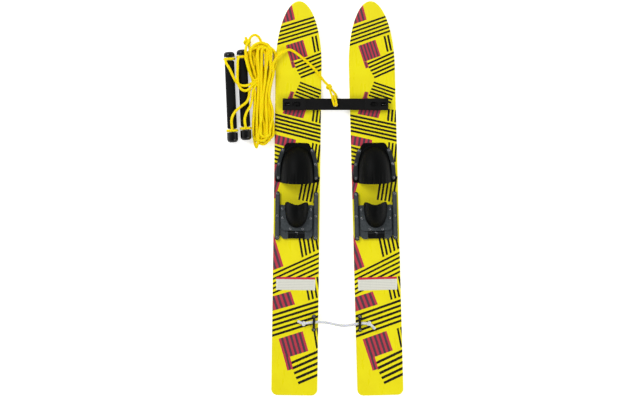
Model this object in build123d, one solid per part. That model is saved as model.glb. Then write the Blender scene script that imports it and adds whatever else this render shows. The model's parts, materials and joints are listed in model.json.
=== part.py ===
from build123d import *
import math
import os

# A pair of beginners' water skis held together by a spreader bar and a tail cord, with their tow
# rope folded beside them. Millimetres, +Z up, +Y towards the ski tips, +X to the right ski.
# The pair lies on the floor (z = 0) on its fins and its bases, so skis and bar are all built in a
# deck frame that is tilted nose-down by the fins: x across, y towards the tips from the bar's
# line, z above the skis' flat bases. Stations along a ski are measured from its tail. From the
# bar back to the heel, each piece takes its station from the piece ahead of it.

# --- The skis -----------------------------------------------------------------------------------
ski_length = 1168.0
ski_width = 137.0
ski_thickness = 12.0
tip_thickness = 7.0
rocker_length = 290.0
tip_rise = 68.0
tip_nose_length = 190.0
tail_corner = 18.0
deck_edge_round = 2.5
base_edge_round = 1.5
bar_setback = 14.0
bar_station = ski_length - rocker_length - bar_setback
tunnel_width = 56.0
tunnel_depth = 2.0
tunnel_setback = 44.0
tunnel_front = bar_station - tunnel_setback

# --- How the pair lies --------------------------------------------------------------------------
stud_reach = 111.0
yaw = {"left": -0.75, "right": 1.5}
bar_x = 64.5
bar_y = bar_station - ski_length / 2

# --- Fins ---------------------------------------------------------------------------------------
fin_depth = 28.0
fin_rear = 60.0
fin_bottom_length = 52.0
fin_root_length = 90.0
fin_bottom_front = fin_rear + fin_bottom_length
fin_root_front = fin_rear + fin_root_length
fin_blade = 4.0
fin_plate_end = 17.0
fin_plate_length = fin_root_length + 2 * fin_plate_end
fin_plate_width = 24.0
fin_plate_thickness = 1.8
fin_corner = 4.0

# --- Screws -------------------------------------------------------------------------------------
screw_head = 3.75
screw_head_height = 2.2
screw_shank = 2.0
screw_play = 0.1
deck_screw_bite = 8.0
recess_length = 4.0
recess_width = 1.1
recess_depth = 1.1

# --- Toe binding --------------------------------------------------------------------------------
# Reaches here are measured forwards from the rear edge of the toe rubber.
toe_setback = 232.0
toe_rear = bar_station - toe_setback
toe_dome_length = 106.0
toe_dome_height = 56.0
toe_overhang = 8.0
toe_flange_length = 118.0
toe_flange_shoulder = 76.0
toe_flange_edge = 3.0
toe_flange_rear_half = ski_width / 2 - toe_flange_edge
toe_flange_shoulder_half = toe_flange_rear_half - 11.5
toe_flange_front_half = toe_flange_rear_half - 31.5
toe_flange_corner = 9.0
rubber_wall = 3.5
flange_thickness = 2.5
strip_width = 12.0
strip_thickness = 3.0
strip_insets = ((22.0, 95.0), (11.1, 54.0), (10.1, 13.0))
strip_screws = [(toe_flange_rear_half - inset, reach) for inset, reach in strip_insets]
toe_strip_room = 16.5
toe_dome_half_width = toe_flange_rear_half - toe_strip_room

# --- Heel slide ---------------------------------------------------------------------------------
toe_rail_gap = 27.0
slide_travel = 40.0
slide_clear = 0.4
heel_setback = 7.0
heel_reach = 61.0
heel_height = 58.0
heel_ear_reach = 13.0
heel_ear_height = 40.0
heel_foot_reach = 5.0
frame_setback = 2.0
frame_web = 8.5
frame_inset = 1.0
frame_corner = 12.0
frame_thickness = 3.0
frame_play = 0.4
flange_inset = 1.0
pin_gap = 5.0
lever_length = 18.5
lever_inset = 1.0
rail_front = toe_rear - toe_rail_gap
plate_front = rail_front - slide_travel
heel_middle = plate_front - heel_setback
frame_front = plate_front - frame_setback
frame_rear = heel_middle - heel_reach - frame_web
pin_station = frame_rear - pin_gap
lever_rear = pin_station - lever_length
plate_rear = lever_rear - lever_inset
plate_top = 6.4
plate_flange_top = 3.5
plate_corner = 9.0
plate_notch_length = 20.0
plate_side_gap = 3.25
plate_flange_inset = 10.0
plate_flange_play = 0.5
channel_play = 0.6
heel_screw_tip = 0.9
side_screw_inset = 5.0
side_screw_setback = 11.0
side_screw_pitch = 26.0
rear_screw_inset = 5.0

# --- Rails and rack -----------------------------------------------------------------------------
rail_end = 4.0
rail_length = rail_front - plate_rear + rail_end
rail_middle = rail_front - rail_length / 2
rail_width = 13.5
rail_height = 8.5
rail_edge = 4.75
rail_offset = ski_width / 2 - rail_width / 2 - rail_edge
rail_screw_inset = 7.5
rail_screw_reach = rail_length / 2 - rail_screw_inset
lip_depth = 4.0
lip_under = plate_flange_top + slide_clear
plate_half_width = rail_offset - rail_width / 2 - plate_side_gap
plate_notch_side = 21.0
plate_notch_half = plate_half_width - plate_notch_side
frame_half_width = plate_half_width - frame_inset
side_screw_offset = frame_half_width - side_screw_inset
heel_screw_room = 6.5
heel_half_width = side_screw_offset - heel_screw_room
rear_screw_spread = 16.1
rear_screw_offset = heel_half_width - rear_screw_spread
rack_inset = 2.0
rack_margin = 14.0
rack_rear = plate_rear + rack_inset
rack_length = slide_travel + rack_margin
rack_width = 24.0
rack_sink = 1.4
rack_play = 0.1
tooth_height = 1.6
tooth_half_width = 10.0
tooth_pitch = 5.0

# --- Lock lever ---------------------------------------------------------------------------------
pin_height = 5.2
pin_radius = 1.25
pin_play = 0.1
pin_end = 0.4
lever_side = 22.0
lever_half_width = plate_half_width - lever_side
lever_bottom = 3.6
lever_thickness = 2.8
lever_barrel = 3.0
lever_gap_half = 5.0
lever_gap_depth = 3.6
boss_width = 5.6
boss_half_length = 4.3
window_play = 0.6
pin_half_length = lever_half_width + window_play + boss_width - pin_end
tooth_gap = 0.3
lever_teeth = 3
finger_pad_half_gap = 3.1
finger_pad_inset = 2.0
finger_pad_side = 1.9
finger_pad_width = lever_half_width - finger_pad_side - finger_pad_half_gap
finger_pad_depth = 1.2
finger_pad_length = lever_length - lever_barrel - 2 * finger_pad_inset
lever_spring_mean = 1.65
lever_spring_wire = 0.3
lever_spring_turns = 6
lever_spring_pitch = 0.9
lever_spring_leg = 5.5

# --- Bar stud -----------------------------------------------------------------------------------
pad_length = 40.0
pad_width = 20.0
pad_height = 4.0
pad_corner = 1.0
pad_skew = {"left": 0.8, "right": -0.8}
pad_screw_inset = 7.0
pad_screw_reach = pad_length / 2 - pad_screw_inset
neck_radius = 3.5
stud_head_radius = 5.5
stud_head_height = 3.0
stud_head_gap = 0.3

# --- Spreader bar -------------------------------------------------------------------------------
bar_overhang = 46.0
bar_half_length = stud_reach + bar_overhang
block_width = 35.0
block_bottom = 0.4
block_top = 17.4
block_wall = 2.0
block_round = 1.5
beam_inset = 0.5
beam_step = 2.0
beam_rise = 3.0
beam_wall = 3.0
beam_ceiling = 4.0
beam_bottom = block_bottom + beam_rise
beam_top = block_top - beam_step
rib_spacing = 22.0
rib_thickness = 2.4
rope_hole_radius = 7.0
rope_boss_length = 28.0
pad_play_across = 0.4
pad_play_along = 1.0
pad_play_above = 0.9
web_thickness = 4.2
web_bottom = pad_height + pad_play_above
web_top = web_bottom + web_thickness
neck_top = web_top + stud_head_gap
block_inner = stud_reach - pad_length / 2 - pad_play_along - block_wall
keyhole_shift = 8.0
keyhole_play = 0.5
recess_play = 1.5
latch_width = 12.8
latch_thickness = 3.2
latch_length = 19.0
latch_play = 0.3
latch_head_gap = 0.4
tab_length = 7.0
tab_half_width = 5.0
tab_rise = 2.0
tab_inset = 0.5
window_slack = 0.5
plug_length = 6.0
plug_play = 0.1
latch_spring_mean = 1.35
latch_spring_wire = 0.25
latch_spring_turns = 7

# --- Tail loops and cord ------------------------------------------------------------------------
loop_station = 215.0
loop_inset = 13.0
loop_clear_half = 11.0
loop_clear_height = 10.0
loop_foot_offset = 8.5
loop_foot_radius = 6.2
loop_foot_thickness = 3.0
loop_screw_reach = loop_clear_half + loop_foot_offset
loop_strap_width = 7.0
loop_strap_thickness = 2.6
loop_round = 4.0
tail_cord_radius = 4.0
tail_knot_radius = 7.5

# --- Tow rope handles ---------------------------------------------------------------------------
rope_radius = 4.0
handle_length = 270.0
handle_core_radius = 10.0
handle_core_bore = 7.5
grip_radius = 14.5
grip_end_round = 1.7
cap_radius = 16.5
short_cap = 16.0
long_cap = 30.0
cap_end = 4.0
cap_play = 0.05
cap_round = 10.0
groove_width = 11.0
rope_seat = 0.2
handle_places = {"a": (-246.0, 301.9, 2.4), "b": (-207.0, 308.7, 2.7)}

sides = {"left": -1, "right": 1}


# --- Frames -------------------------------------------------------------------------------------
def tilt_on_fin():
    """Angle at which a ski touches the floor with its fin and with the curve ahead of its base."""
    rocker_radius = (rocker_length**2 + tip_rise**2) / (2 * tip_rise)
    reach = ski_length - rocker_length - fin_bottom_front
    lean = math.atan2(reach, rocker_radius + fin_depth)
    tilt = math.acos(rocker_radius / math.hypot(rocker_radius + fin_depth, reach)) - lean
    touch = ski_length - rocker_length - bar_station + rocker_radius * math.sin(tilt)
    rise = rocker_radius * (1 - math.cos(tilt))
    lift = (touch + bar_y) * math.sin(tilt) - rise * math.cos(tilt)
    return math.degrees(tilt), lift


tilt, lift = tilt_on_fin()
deck_frame = Pos(0, 0, lift) * Rot(-tilt, 0, 0) * Pos(bar_x, bar_y, 0)
on_deck = Pos(0, 0, ski_thickness)


def station(distance_from_tail):
    """Place along a ski, in its own frame, of a distance from its tail."""
    return distance_from_tail - bar_station


def ski_frame(side):
    """Frame of one ski: its origin is on the base, under the bar stud's axis."""
    return deck_frame * Pos(sides[side] * stud_reach, 0, 0) * Rot(0, 0, yaw[side])


def block(x_span, y_span, z_span):
    """Box between two limits along each axis."""
    size = [high - low for low, high in (x_span, y_span, z_span)]
    middle = [(high + low) / 2 for low, high in (x_span, y_span, z_span)]
    return Pos(*middle) * Box(*size)


# --- Fasteners and springs ----------------------------------------------------------------------
def screw(bite):
    """Pan-head screw with a cross recess: its head sits on z = 0 and its shank goes down."""
    head = Cylinder(screw_head, screw_head_height, align=(Align.CENTER, Align.CENTER, Align.MIN))
    head = fillet(head.edges().sort_by(Axis.Z)[-1], screw_head_height * 0.45)
    shank = Pos(0, 0, -bite / 2) * Cylinder(screw_shank, bite)
    slot = Box(recess_length, recess_width, 2 * recess_depth)
    cross = Pos(0, 0, screw_head_height) * (slot + Rot(0, 0, 90) * slot)
    return head + shank - cross


def screws(places, bite):
    """One screw at each place, as separate solids."""
    pattern = screw(bite)
    return [place * pattern for place in places]


def screw_holes(places, bite):
    """Clearance holes for those screws, to cut from what they hold or bite into."""
    hole = Pos(0, 0, -bite / 2) * Cylinder(screw_shank + screw_play, bite + 2 * screw_play)
    return [place * hole for place in places]


def coil(mean_radius, wire_radius, turns, length):
    """Round-wire coil along +Z, between z = 0 and its length, wire included."""
    height = length - 3 * wire_radius
    path = Helix(pitch=height / turns, height=height, radius=mean_radius)
    start = Plane(origin=path @ 0, z_dir=path % 0)
    wire = sweep(start * Circle(wire_radius), path=path, is_frenet=True)
    return Pos(0, 0, 1.5 * wire_radius) * wire


# --- Ski ----------------------------------------------------------------------------------------
def side_profile():
    """The ski seen from the side: flat base and deck, and a tip that curves up and thins."""
    tail_y = station(0)
    flat_end = station(ski_length - rocker_length)
    tip_y = station(ski_length)
    tip_top = tip_rise + tip_thickness
    base = Line((tail_y, 0), (flat_end, 0))
    base_curve = TangentArc((flat_end, 0), (tip_y, tip_rise), tangent=(1, 0))
    tip = Line((tip_y, tip_rise), (tip_y, tip_top))
    deck_curve = TangentArc((flat_end, ski_thickness), (tip_y, tip_top), tangent=(1, 0))
    deck = Line((flat_end, ski_thickness), (tail_y, ski_thickness))
    tail = Line((tail_y, ski_thickness), (tail_y, 0))
    return Plane.YZ * make_face([base, base_curve, tip, deck_curve, deck, tail])


def plan_outline():
    """The ski seen from above: straight sides, an elliptical nose and a squared tail."""
    half = ski_width / 2
    tail_y = station(0)
    nose_y = station(ski_length - tip_nose_length)
    nose = EllipticalCenterArc((0, nose_y), half, tip_nose_length, start_angle=0, arc_size=180)
    left = Line((-half, nose_y), (-half, tail_y))
    tail = Line((-half, tail_y), (half, tail_y))
    right = Line((half, tail_y), (half, nose_y))
    outline = make_face([nose, left, tail, right])
    return fillet(outline.vertices().sort_by(Axis.Y)[:2], tail_corner)


def base_height(y):
    """Height of the ski's base above its flat part, in the ski's own frame."""
    ahead = max(0.0, y - station(ski_length - rocker_length))
    radius = (rocker_length**2 + tip_rise**2) / (2 * tip_rise)
    return radius - math.sqrt(radius**2 - ahead**2)


def rim_edges(body, upper):
    """The edges round the deck or round the base, without the line where the rocker begins."""
    chosen = []
    for edge in body.edges():
        middle = edge @ 0.5
        along = edge % 0.5
        rocker_line = abs(along.X) > 0.99 and abs(middle.Y - station(ski_length - rocker_length)) < 1
        above = middle.Z > base_height(middle.Y) + tip_thickness / 2
        if above == upper and abs(along.Z) < 0.9 and not rocker_line:
            chosen.append(edge)
    return chosen


def loop_place(side):
    """Middle of a tail loop on the deck, near the ski's inner edge."""
    return Pos(-sides[side] * (ski_width / 2 - loop_inset), station(loop_station), 0)


def deck_screw_groups(side):
    """Where the deck screws seat, above the deck, one list for each piece that they hold."""
    strip_top = flange_thickness + strip_thickness
    strips = [
        Pos(sign * x, station(toe_rear + reach), strip_top)
        for sign in (-1, 1)
        for x, reach in strip_screws
    ]
    rails = [
        Pos(sign * rail_offset, station(rail_middle) + step * rail_screw_reach, rail_height)
        for sign in (-1, 1)
        for step in (-1, 0, 1)
    ]
    skew = Rot(0, 0, pad_skew[side])
    pad_seat = pad_height - screw_head_height
    pad = [skew * Pos(step * pad_screw_reach, 0, pad_seat) for step in (-1, 1)]
    loop = [
        loop_place(side) * Pos(0, step * loop_screw_reach, loop_foot_thickness) for step in (-1, 1)
    ]
    return {"strips": strips, "rails": rails, "pad": pad, "loop": loop}


def deck_screw_length(group):
    """Shank of the screws of one group: through what they hold, and their bite in the ski."""
    return group[0].position.Z + deck_screw_bite


def fin_screw_places():
    """Where the two fin screws seat, heads down, on the fin's plate in the base tunnel."""
    plate_middle = station(fin_rear + fin_root_length / 2)
    reach = fin_plate_length / 2 - 2 * screw_head
    seat = tunnel_depth - fin_plate_thickness
    return [Pos(0, plate_middle + step * reach, seat) * Rot(180, 0, 0) for step in (-1, 1)]


def rack_outline(play):
    """Plan of the rack's base, or of its pocket in the deck."""
    middle = station(rack_rear + rack_length / 2)
    return Pos(0, middle) * Rectangle(rack_width + 2 * play, rack_length + 2 * play)


def make_ski(side):
    body = extrude(side_profile(), ski_width, both=True)
    body = body & (Pos(0, 0, -1) * extrude(plan_outline(), tip_rise + ski_thickness))
    body = fillet(rim_edges(body, upper=True), deck_edge_round)
    body = fillet(rim_edges(body, upper=False), base_edge_round)
    tunnel = RectangleRounded(tunnel_width, 2 * tunnel_front, 0.45 * tunnel_width)
    body = body - Pos(0, station(0), -1) * extrude(tunnel, 1 + tunnel_depth)
    body = body - on_deck * extrude(rack_outline(rack_play), rack_sink, both=True)
    for group in deck_screw_groups(side).values():
        body = body - [on_deck * hole for hole in screw_holes(group, deck_screw_length(group))]
    return body - screw_holes(fin_screw_places(), deck_screw_bite)


def make_deck_screws(side):
    """All the screws that bite into one ski, as separate solids."""
    solids = []
    for group in deck_screw_groups(side).values():
        solids += [on_deck * one for one in screws(group, deck_screw_length(group))]
    return Compound(solids + screws(fin_screw_places(), deck_screw_bite))


def make_fin():
    """Moulded fin: a plate in the base tunnel and a swept blade below it."""
    middle = station(fin_rear + fin_root_length / 2)
    root = tunnel_depth - fin_plate_thickness
    plate = RectangleRounded(fin_plate_width, fin_plate_length, fin_corner)
    plate = Pos(0, middle, root) * extrude(plate, fin_plate_thickness)
    side = Polygon(
        (station(fin_rear), root + fin_plate_thickness / 2),
        (station(fin_rear), -fin_depth),
        (station(fin_bottom_front), -fin_depth),
        (station(fin_root_front), root + fin_plate_thickness / 2),
        align=None,
    )
    side = fillet(side.vertices().group_by(Axis.Y)[0].sort_by(Axis.X)[0], 2 * fin_corner)
    blade = extrude(Plane.YZ * side, fin_blade / 2, both=True)
    return plate + blade - screw_holes(fin_screw_places(), deck_screw_bite)


# --- Toe binding --------------------------------------------------------------------------------
def ellipsoid(half_width, half_length, half_height):
    sphere = Sphere(half_width)
    return scale(sphere, by=(1, half_length / half_width, half_height / half_width))


def hood(sizes, tail):
    """Half a dome ahead of its origin and, behind it, the same half arch carried on to the tail."""
    half_width, length, height = sizes
    reach = max(sizes) + tail
    ahead = block((-reach, reach), (0, reach), (0, reach))
    above = block((-reach, reach), (-reach, reach), (0, reach))
    arch = extrude(Plane.XZ * Ellipse(half_width, height), tail)
    return (ellipsoid(*sizes) & ahead) + (arch & above)


def shell_of(sizes, tail):
    """Rubber wall of a hood, open below and at its tail."""
    inner = [size - rubber_wall for size in sizes]
    room = ellipsoid(*inner) + extrude(Plane.XZ * Ellipse(inner[0], inner[2]), 2 * tail)
    return hood(sizes, tail) - room


def toe_flange_outline():
    """Plan of the toe rubber's flange: a blunt front, sloping sides and a square rear."""
    right = [
        (toe_flange_rear_half, station(toe_rear)),
        (toe_flange_rear_half, station(toe_rear + strip_screws[-1][1])),
        (toe_flange_shoulder_half, station(toe_rear + toe_flange_shoulder)),
        (toe_flange_front_half, station(toe_rear + toe_flange_length)),
    ]
    left = [(-x, y) for x, y in reversed(right)]
    outline = Polygon(*right, *left, align=None)
    return fillet(outline.vertices(), toe_flange_corner)


def make_toe_rubber():
    """Foot pocket open towards the tail: a dome on a flat flange, its upper rim overhanging."""
    sizes = (toe_dome_half_width, toe_dome_length, toe_dome_height)
    shell = shell_of(sizes, toe_overhang)
    rim = Line((0, flange_thickness), (-toe_overhang, toe_dome_height))
    behind = Polyline(
        rim @ 1,
        (-2 * toe_overhang, toe_dome_height),
        (-2 * toe_overhang, -flange_thickness),
        (0, -flange_thickness),
        rim @ 0,
    )
    cut = make_face([rim, *behind.edges()])
    shell -= extrude(Plane.YZ * cut, 2 * toe_dome_half_width, both=True)
    middle = Pos(0, station(toe_rear), 0)
    inner = ellipsoid(*(size - rubber_wall for size in sizes))
    flange = extrude(toe_flange_outline(), flange_thickness)
    return middle * shell + (flange - middle * inner) - strip_screw_holes()


def strip_screw_holes():
    group = deck_screw_groups("left")["strips"]
    return screw_holes(group, deck_screw_length(group))


def make_toe_strip(sign):
    """Curved strip that clamps one side of the flange, under three screws."""
    points = [(sign * x, station(toe_rear + reach)) for x, reach in strip_screws]
    strip = SlotArc(ThreePointArc(*points), strip_width)
    strip = Pos(0, 0, flange_thickness) * extrude(strip, strip_thickness)
    strip = fillet(strip.edges().group_by(Axis.Z)[-1], strip_thickness * 0.4)
    return strip - strip_screw_holes()


# --- Rails and rack -----------------------------------------------------------------------------
def make_rail(side, sign):
    """Straight rail with a lip over the heel plate's flange."""
    middle = Pos(sign * rail_offset, station(rail_middle), 0)
    rail = extrude(Rot(0, 0, 90) * SlotOverall(rail_length, rail_width), rail_height)
    rail = fillet(rail.edges().group_by(Axis.Z)[-1], rail_width * 0.15)
    inner_face = rail_width / 2
    under_lip = block(
        sorted((-sign * (inner_face - lip_depth), -sign * (inner_face + 1))),
        (-rail_length, rail_length),
        (-1, lip_under),
    )
    group = deck_screw_groups(side)["rails"]
    return middle * (rail - under_lip) - screw_holes(group, deck_screw_length(group))


def tooth_row(first, count, root, tip):
    """Row of pointed teeth across the ski, seen from the side, one pitch apart along Y."""
    half = tooth_pitch / 2
    one = Polygon((-half, root), (half, root), (0, tip), align=None)
    middles = [first + index * tooth_pitch for index in range(count)]
    return [extrude(Plane.YZ * Pos(y, 0) * one, tooth_half_width, both=True) for y in middles]


def make_rack():
    """Toothed strip, bonded in a shallow pocket of the deck under the heel plate."""
    base = Pos(0, 0, -rack_sink) * extrude(rack_outline(0), rack_sink)
    count = int(rack_length // tooth_pitch)
    first = station(rack_rear) + tooth_pitch / 2
    return base + tooth_row(first, count, -rack_sink / 2, tooth_height)


# --- Heel slide ---------------------------------------------------------------------------------
def arch_plan(half_width, reach, front):
    """Plan of an arch open to the front: a half ellipse behind the heel's middle, then straight."""
    middle = station(heel_middle)
    round_part = Pos(0, middle) * Ellipse(half_width, reach)
    length = station(front) - middle
    straight = Pos(0, middle + length / 2) * Rectangle(2 * half_width, length)
    behind = Pos(0, middle - reach) * Rectangle(4 * half_width, 2 * reach)
    return (round_part & behind) + straight


def heel_screw_places():
    top = plate_top + flange_thickness + frame_thickness
    first = frame_front - side_screw_setback
    at_sides = [
        Pos(sign * side_screw_offset, station(s), top)
        for sign in (-1, 1)
        for s in (first, first - side_screw_pitch)
    ]
    behind = station(frame_rear + rear_screw_inset)
    return at_sides + [Pos(sign * rear_screw_offset, behind, top) for sign in (-1, 1)]


def heel_screw_length():
    return plate_top + flange_thickness + frame_thickness - heel_screw_tip


def make_heel_plate():
    """Plate that slides between the rails, notched for the foot, the rack and the lock lever."""
    length = plate_front - plate_rear
    outline = Rectangle(2 * plate_half_width, length)
    outline = chamfer(outline.vertices().sort_by(Axis.Y)[:2], plate_corner)
    outline = Pos(0, station(plate_rear) + length / 2) * outline
    notch_middle = station(plate_front - plate_notch_length) + plate_notch_half
    notch = Pos(0, notch_middle) * Circle(plate_notch_half)
    notch += Pos(0, notch_middle + length / 2) * Rectangle(2 * plate_notch_half, length)
    plate = Pos(0, 0, slide_clear) * extrude(outline - notch, plate_top - slide_clear)
    flange_reach = rail_offset - rail_width / 2 + lip_depth - plate_flange_play
    flange_span = (station(plate_rear) + plate_flange_inset, station(plate_front) - slide_clear)
    for sign in (-1, 1):
        x_span = sorted((sign * (plate_half_width - 1), sign * flange_reach))
        plate += block(x_span, flange_span, (slide_clear, plate_flange_top))
    rear = station(plate_rear) - 1
    rack_room = rack_width / 2 + channel_play
    rack_front = station(rack_rear + rack_length) + channel_play
    plate -= block((-rack_room, rack_room), (rear, rack_front), (0, tooth_height + channel_play))
    boss_inner = lever_half_width + window_play
    pin_y = station(pin_station)
    boss_span = (pin_y - boss_half_length, pin_y + boss_half_length)
    for sign in (-1, 1):
        x_span = sorted((sign * boss_inner, sign * (boss_inner + boss_width)))
        boss = block(x_span, boss_span, (slide_clear, pin_height + lever_barrel))
        plate += fillet(boss.edges().filter_by(Axis.X).group_by(Axis.Z)[-1], 0.4 * boss_half_length)
    window_front = pin_y + lever_barrel + window_play
    plate -= block((-boss_inner, boss_inner), (rear, window_front), (0, plate_top + 1))
    pin_room = Pos(0, pin_y, pin_height) * Rot(0, 90, 0) * Cylinder(
        pin_radius + pin_play / 2, 2 * pin_half_length + pin_play
    )
    return plate - pin_room - screw_holes(heel_screw_places(), heel_screw_length())


def clamp_outline(inset):
    """Square-backed outline shared by the heel frame and, set in a little, by the flange."""
    rear = station(frame_rear) + inset
    front = station(frame_front) - inset
    outline = Rectangle(2 * (frame_half_width - inset), front - rear)
    outline = fillet(outline.vertices().sort_by(Axis.Y)[:2], frame_corner)
    return Pos(0, (rear + front) / 2) * outline


def make_heel_rubber():
    """Heel cup open towards the tip: a dome on a flange, with a rim that dips between two ears."""
    sizes = (heel_half_width, heel_reach, heel_height)
    shell = Rot(0, 0, 180) * shell_of(sizes, heel_ear_reach)
    top = heel_height + rubber_wall
    rim = ThreePointArc(
        (heel_foot_reach, -rubber_wall), (heel_ear_reach, heel_ear_height), (0, top)
    )
    ahead = Polyline(
        rim @ 1,
        (2 * heel_ear_reach, top),
        (2 * heel_ear_reach, -rubber_wall),
        rim @ 0,
    )
    cut = make_face([rim, *ahead.edges()])
    shell -= extrude(Plane.YZ * cut, 2 * heel_half_width, both=True)
    inner_plan = arch_plan(heel_half_width - rubber_wall, heel_reach - rubber_wall, frame_front)
    flange = extrude(clamp_outline(flange_inset) - inner_plan, flange_thickness)
    middle = Pos(0, station(heel_middle), 0)
    body = Pos(0, 0, plate_top) * (middle * shell + flange)
    return body - screw_holes(heel_screw_places(), heel_screw_length())


def make_heel_frame():
    """U-shaped frame that clamps the heel rubber's flange to the plate."""
    room = arch_plan(heel_half_width + frame_play, heel_reach + frame_play, frame_front + 1)
    frame = extrude(clamp_outline(0) - room, frame_thickness)
    frame = Pos(0, 0, plate_top + flange_thickness) * frame
    return frame - screw_holes(heel_screw_places(), heel_screw_length())


# --- Lock lever ---------------------------------------------------------------------------------
def pin_place():
    return Pos(0, station(pin_station), pin_height) * Rot(0, 90, 0)


def make_lock_lever():
    """Lever at the back of the heel plate, with two finger pads above and teeth below."""
    pin_y = station(pin_station)
    half = lever_half_width
    top = lever_bottom + lever_thickness
    rear = station(lever_rear)
    plate = block((-half, half), (rear, pin_y), (lever_bottom, top))
    plate = fillet(plate.edges().filter_by(Axis.Z).group_by(Axis.Y)[0], lever_thickness)
    barrel = pin_place() * Cylinder(lever_barrel, 2 * half)
    lever = plate + barrel
    for sign in (-1, 1):
        x_span = sorted((sign * finger_pad_half_gap, sign * (finger_pad_half_gap + finger_pad_width)))
        y_start = rear + finger_pad_inset
        pad = block(x_span, (y_start, y_start + finger_pad_length), (top - finger_pad_depth, top + 1))
        lever -= fillet(pad.edges().filter_by(Axis.Z), finger_pad_inset)
    first = station(rack_rear) + tooth_pitch
    lever += tooth_row(first, lever_teeth, lever_bottom + 0.5, tooth_height + tooth_gap)
    gap_front = pin_y + 2 * lever_barrel
    gap = (-lever_gap_half, lever_gap_half)
    lever -= block(gap, (pin_y - lever_gap_depth, gap_front), (0, top + lever_barrel))
    return lever - pin_place() * Cylinder(pin_radius + pin_play / 2, 2 * half + 1)


def make_lever_spring():
    """Torsion spring round the pin: a coil and two straight legs along its top."""
    length = lever_spring_turns * lever_spring_pitch
    turn_start = Rot(0, 0, 180)
    body = turn_start * coil(lever_spring_mean, lever_spring_wire, lever_spring_turns, length)
    body = pin_place() * Pos(0, 0, -length / 2) * body
    leg_shape = Cylinder(lever_spring_wire, lever_spring_leg)
    pin_y = station(pin_station)
    solids = [body]
    for sign in (-1, 1):
        reach = sign * (lever_spring_leg / 2 + lever_spring_wire)
        place = Pos(-sign * length / 2, pin_y + reach, pin_height + lever_spring_mean)
        solids.append(place * Rot(90, 0, 0) * leg_shape)
    return Compound(solids)


# --- Bar stud -----------------------------------------------------------------------------------
def make_bar_stud(side):
    """Pad on the deck with a headed stud, which the bar's keyhole locks on."""
    pad = extrude(RectangleRounded(pad_length, pad_width, pad_corner), pad_height)
    neck = Pos(0, 0, neck_top / 2) * Cylinder(neck_radius, neck_top)
    head = Cylinder(stud_head_radius, stud_head_height)
    head = Pos(0, 0, neck_top + stud_head_height / 2) * head
    head = fillet(head.edges().sort_by(Axis.Z)[-1], stud_head_height * 0.3)
    stud = Rot(0, 0, pad_skew[side]) * (pad + neck + head)
    group = deck_screw_groups(side)["pad"]
    seat = Pos(0, 0, screw_head_height) * Cylinder(screw_head + screw_play, 2 * screw_head_height)
    stud -= [place * seat for place in group]
    return stud - screw_holes(group, deck_screw_length(group))


# --- Spreader bar -------------------------------------------------------------------------------
def obround(first, last, radius, low, high):
    """Upright slot through the bar between two places along X."""
    middle = Pos((first + last) / 2, 0, low)
    return middle * extrude(SlotOverall(abs(last - first) + 2 * radius, 2 * radius), high - low)


def latch_span():
    """Where a latch begins and ends along the bar, at rest behind the stud's head."""
    start = stud_reach + stud_head_radius + latch_head_gap
    return start, start + latch_length


def end_block():
    """Right end of the bar: a solid block with a pad recess, a keyhole and a latch channel."""
    half = block_width / 2
    body = block((block_inner, bar_half_length), (-half, half), (block_bottom, block_top))
    body = fillet(body.edges().filter_by(Axis.Z) + body.edges().group_by(Axis.Z)[-1], block_round)
    pad_half = pad_length / 2 + pad_play_along
    across = pad_width / 2 + pad_play_across
    pad_span = (stud_reach - pad_half, stud_reach + keyhole_shift + pad_half)
    body -= block(pad_span, (-across, across), (0, web_bottom))
    wide = stud_reach + keyhole_shift
    neck_room = neck_radius + keyhole_play
    body -= obround(stud_reach, wide, neck_room, web_bottom - 1, web_top + 1)
    head_room = stud_head_radius + keyhole_play
    body -= Pos(wide, 0, web_bottom) * Cylinder(head_room, 4 * web_thickness)
    recess = stud_head_radius + recess_play
    body -= obround(stud_reach, wide, recess, web_top, block_top + 1)
    channel_half = latch_width / 2 + latch_play
    channel_top = web_top + latch_thickness + 2 * latch_play
    end = bar_half_length + 1
    body -= block((wide, end), (-channel_half, channel_half), (web_top, channel_top))
    window_start = latch_span()[1] - tab_inset - tab_length - window_slack
    window_half = tab_half_width + latch_play
    return body - block((window_start, end), (-window_half, window_half), (web_top, block_top + 1))


def make_spreader_bar():
    """Moulded bar: two end blocks joined by a ribbed channel with a rope boss in its middle."""
    half = block_width / 2 - beam_inset
    overlap = block_inner + block_wall / 2
    bar = block((-overlap, overlap), (-half, half), (beam_bottom, beam_top))
    bar = fillet(bar.edges().filter_by(Axis.X).group_by(Axis.Z)[-1], block_round)
    pocket_half = half - beam_wall
    boss_half = rope_boss_length / 2
    count = int((block_inner - boss_half) // rib_spacing)
    pitch = (block_inner - boss_half) / count
    for index in range(count):
        start = boss_half + index * pitch
        end = start + pitch - rib_thickness
        for x_span in ((start, end), (-end, -start)):
            room = block(x_span, (-pocket_half, pocket_half), (0, beam_top - beam_ceiling))
            bar -= room
    right_end = end_block()
    bar = bar + right_end + Rot(0, 0, 180) * right_end
    hole = Pos(0, 0, beam_top / 2) * Cylinder(rope_hole_radius, 2 * beam_top)
    bar -= hole
    mouths = bar.edges().filter_by(GeomType.CIRCLE).filter_by(
        lambda edge: abs(edge.radius - rope_hole_radius) < 0.01 and abs(edge.arc_center.X) < 1
    )
    return fillet(mouths, block_round)


def make_latch(sign):
    """Sliding latch: a flat tongue behind the stud's head and a finger tab through the window."""
    start, end = latch_span()
    low = web_top + latch_play
    top = low + latch_thickness
    half = latch_width / 2
    body = block((start, end), (-half, half), (low, top))
    tab_end = end - tab_inset
    tab_top = block_top + tab_rise
    tab = block((tab_end - tab_length, tab_end), (-tab_half_width, tab_half_width), (top - 1, tab_top))
    tab = fillet(tab.edges().group_by(Axis.Z)[-1], tab_inset)
    return Rot(0, 0, 90 - sign * 90) * (body + tab)


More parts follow.
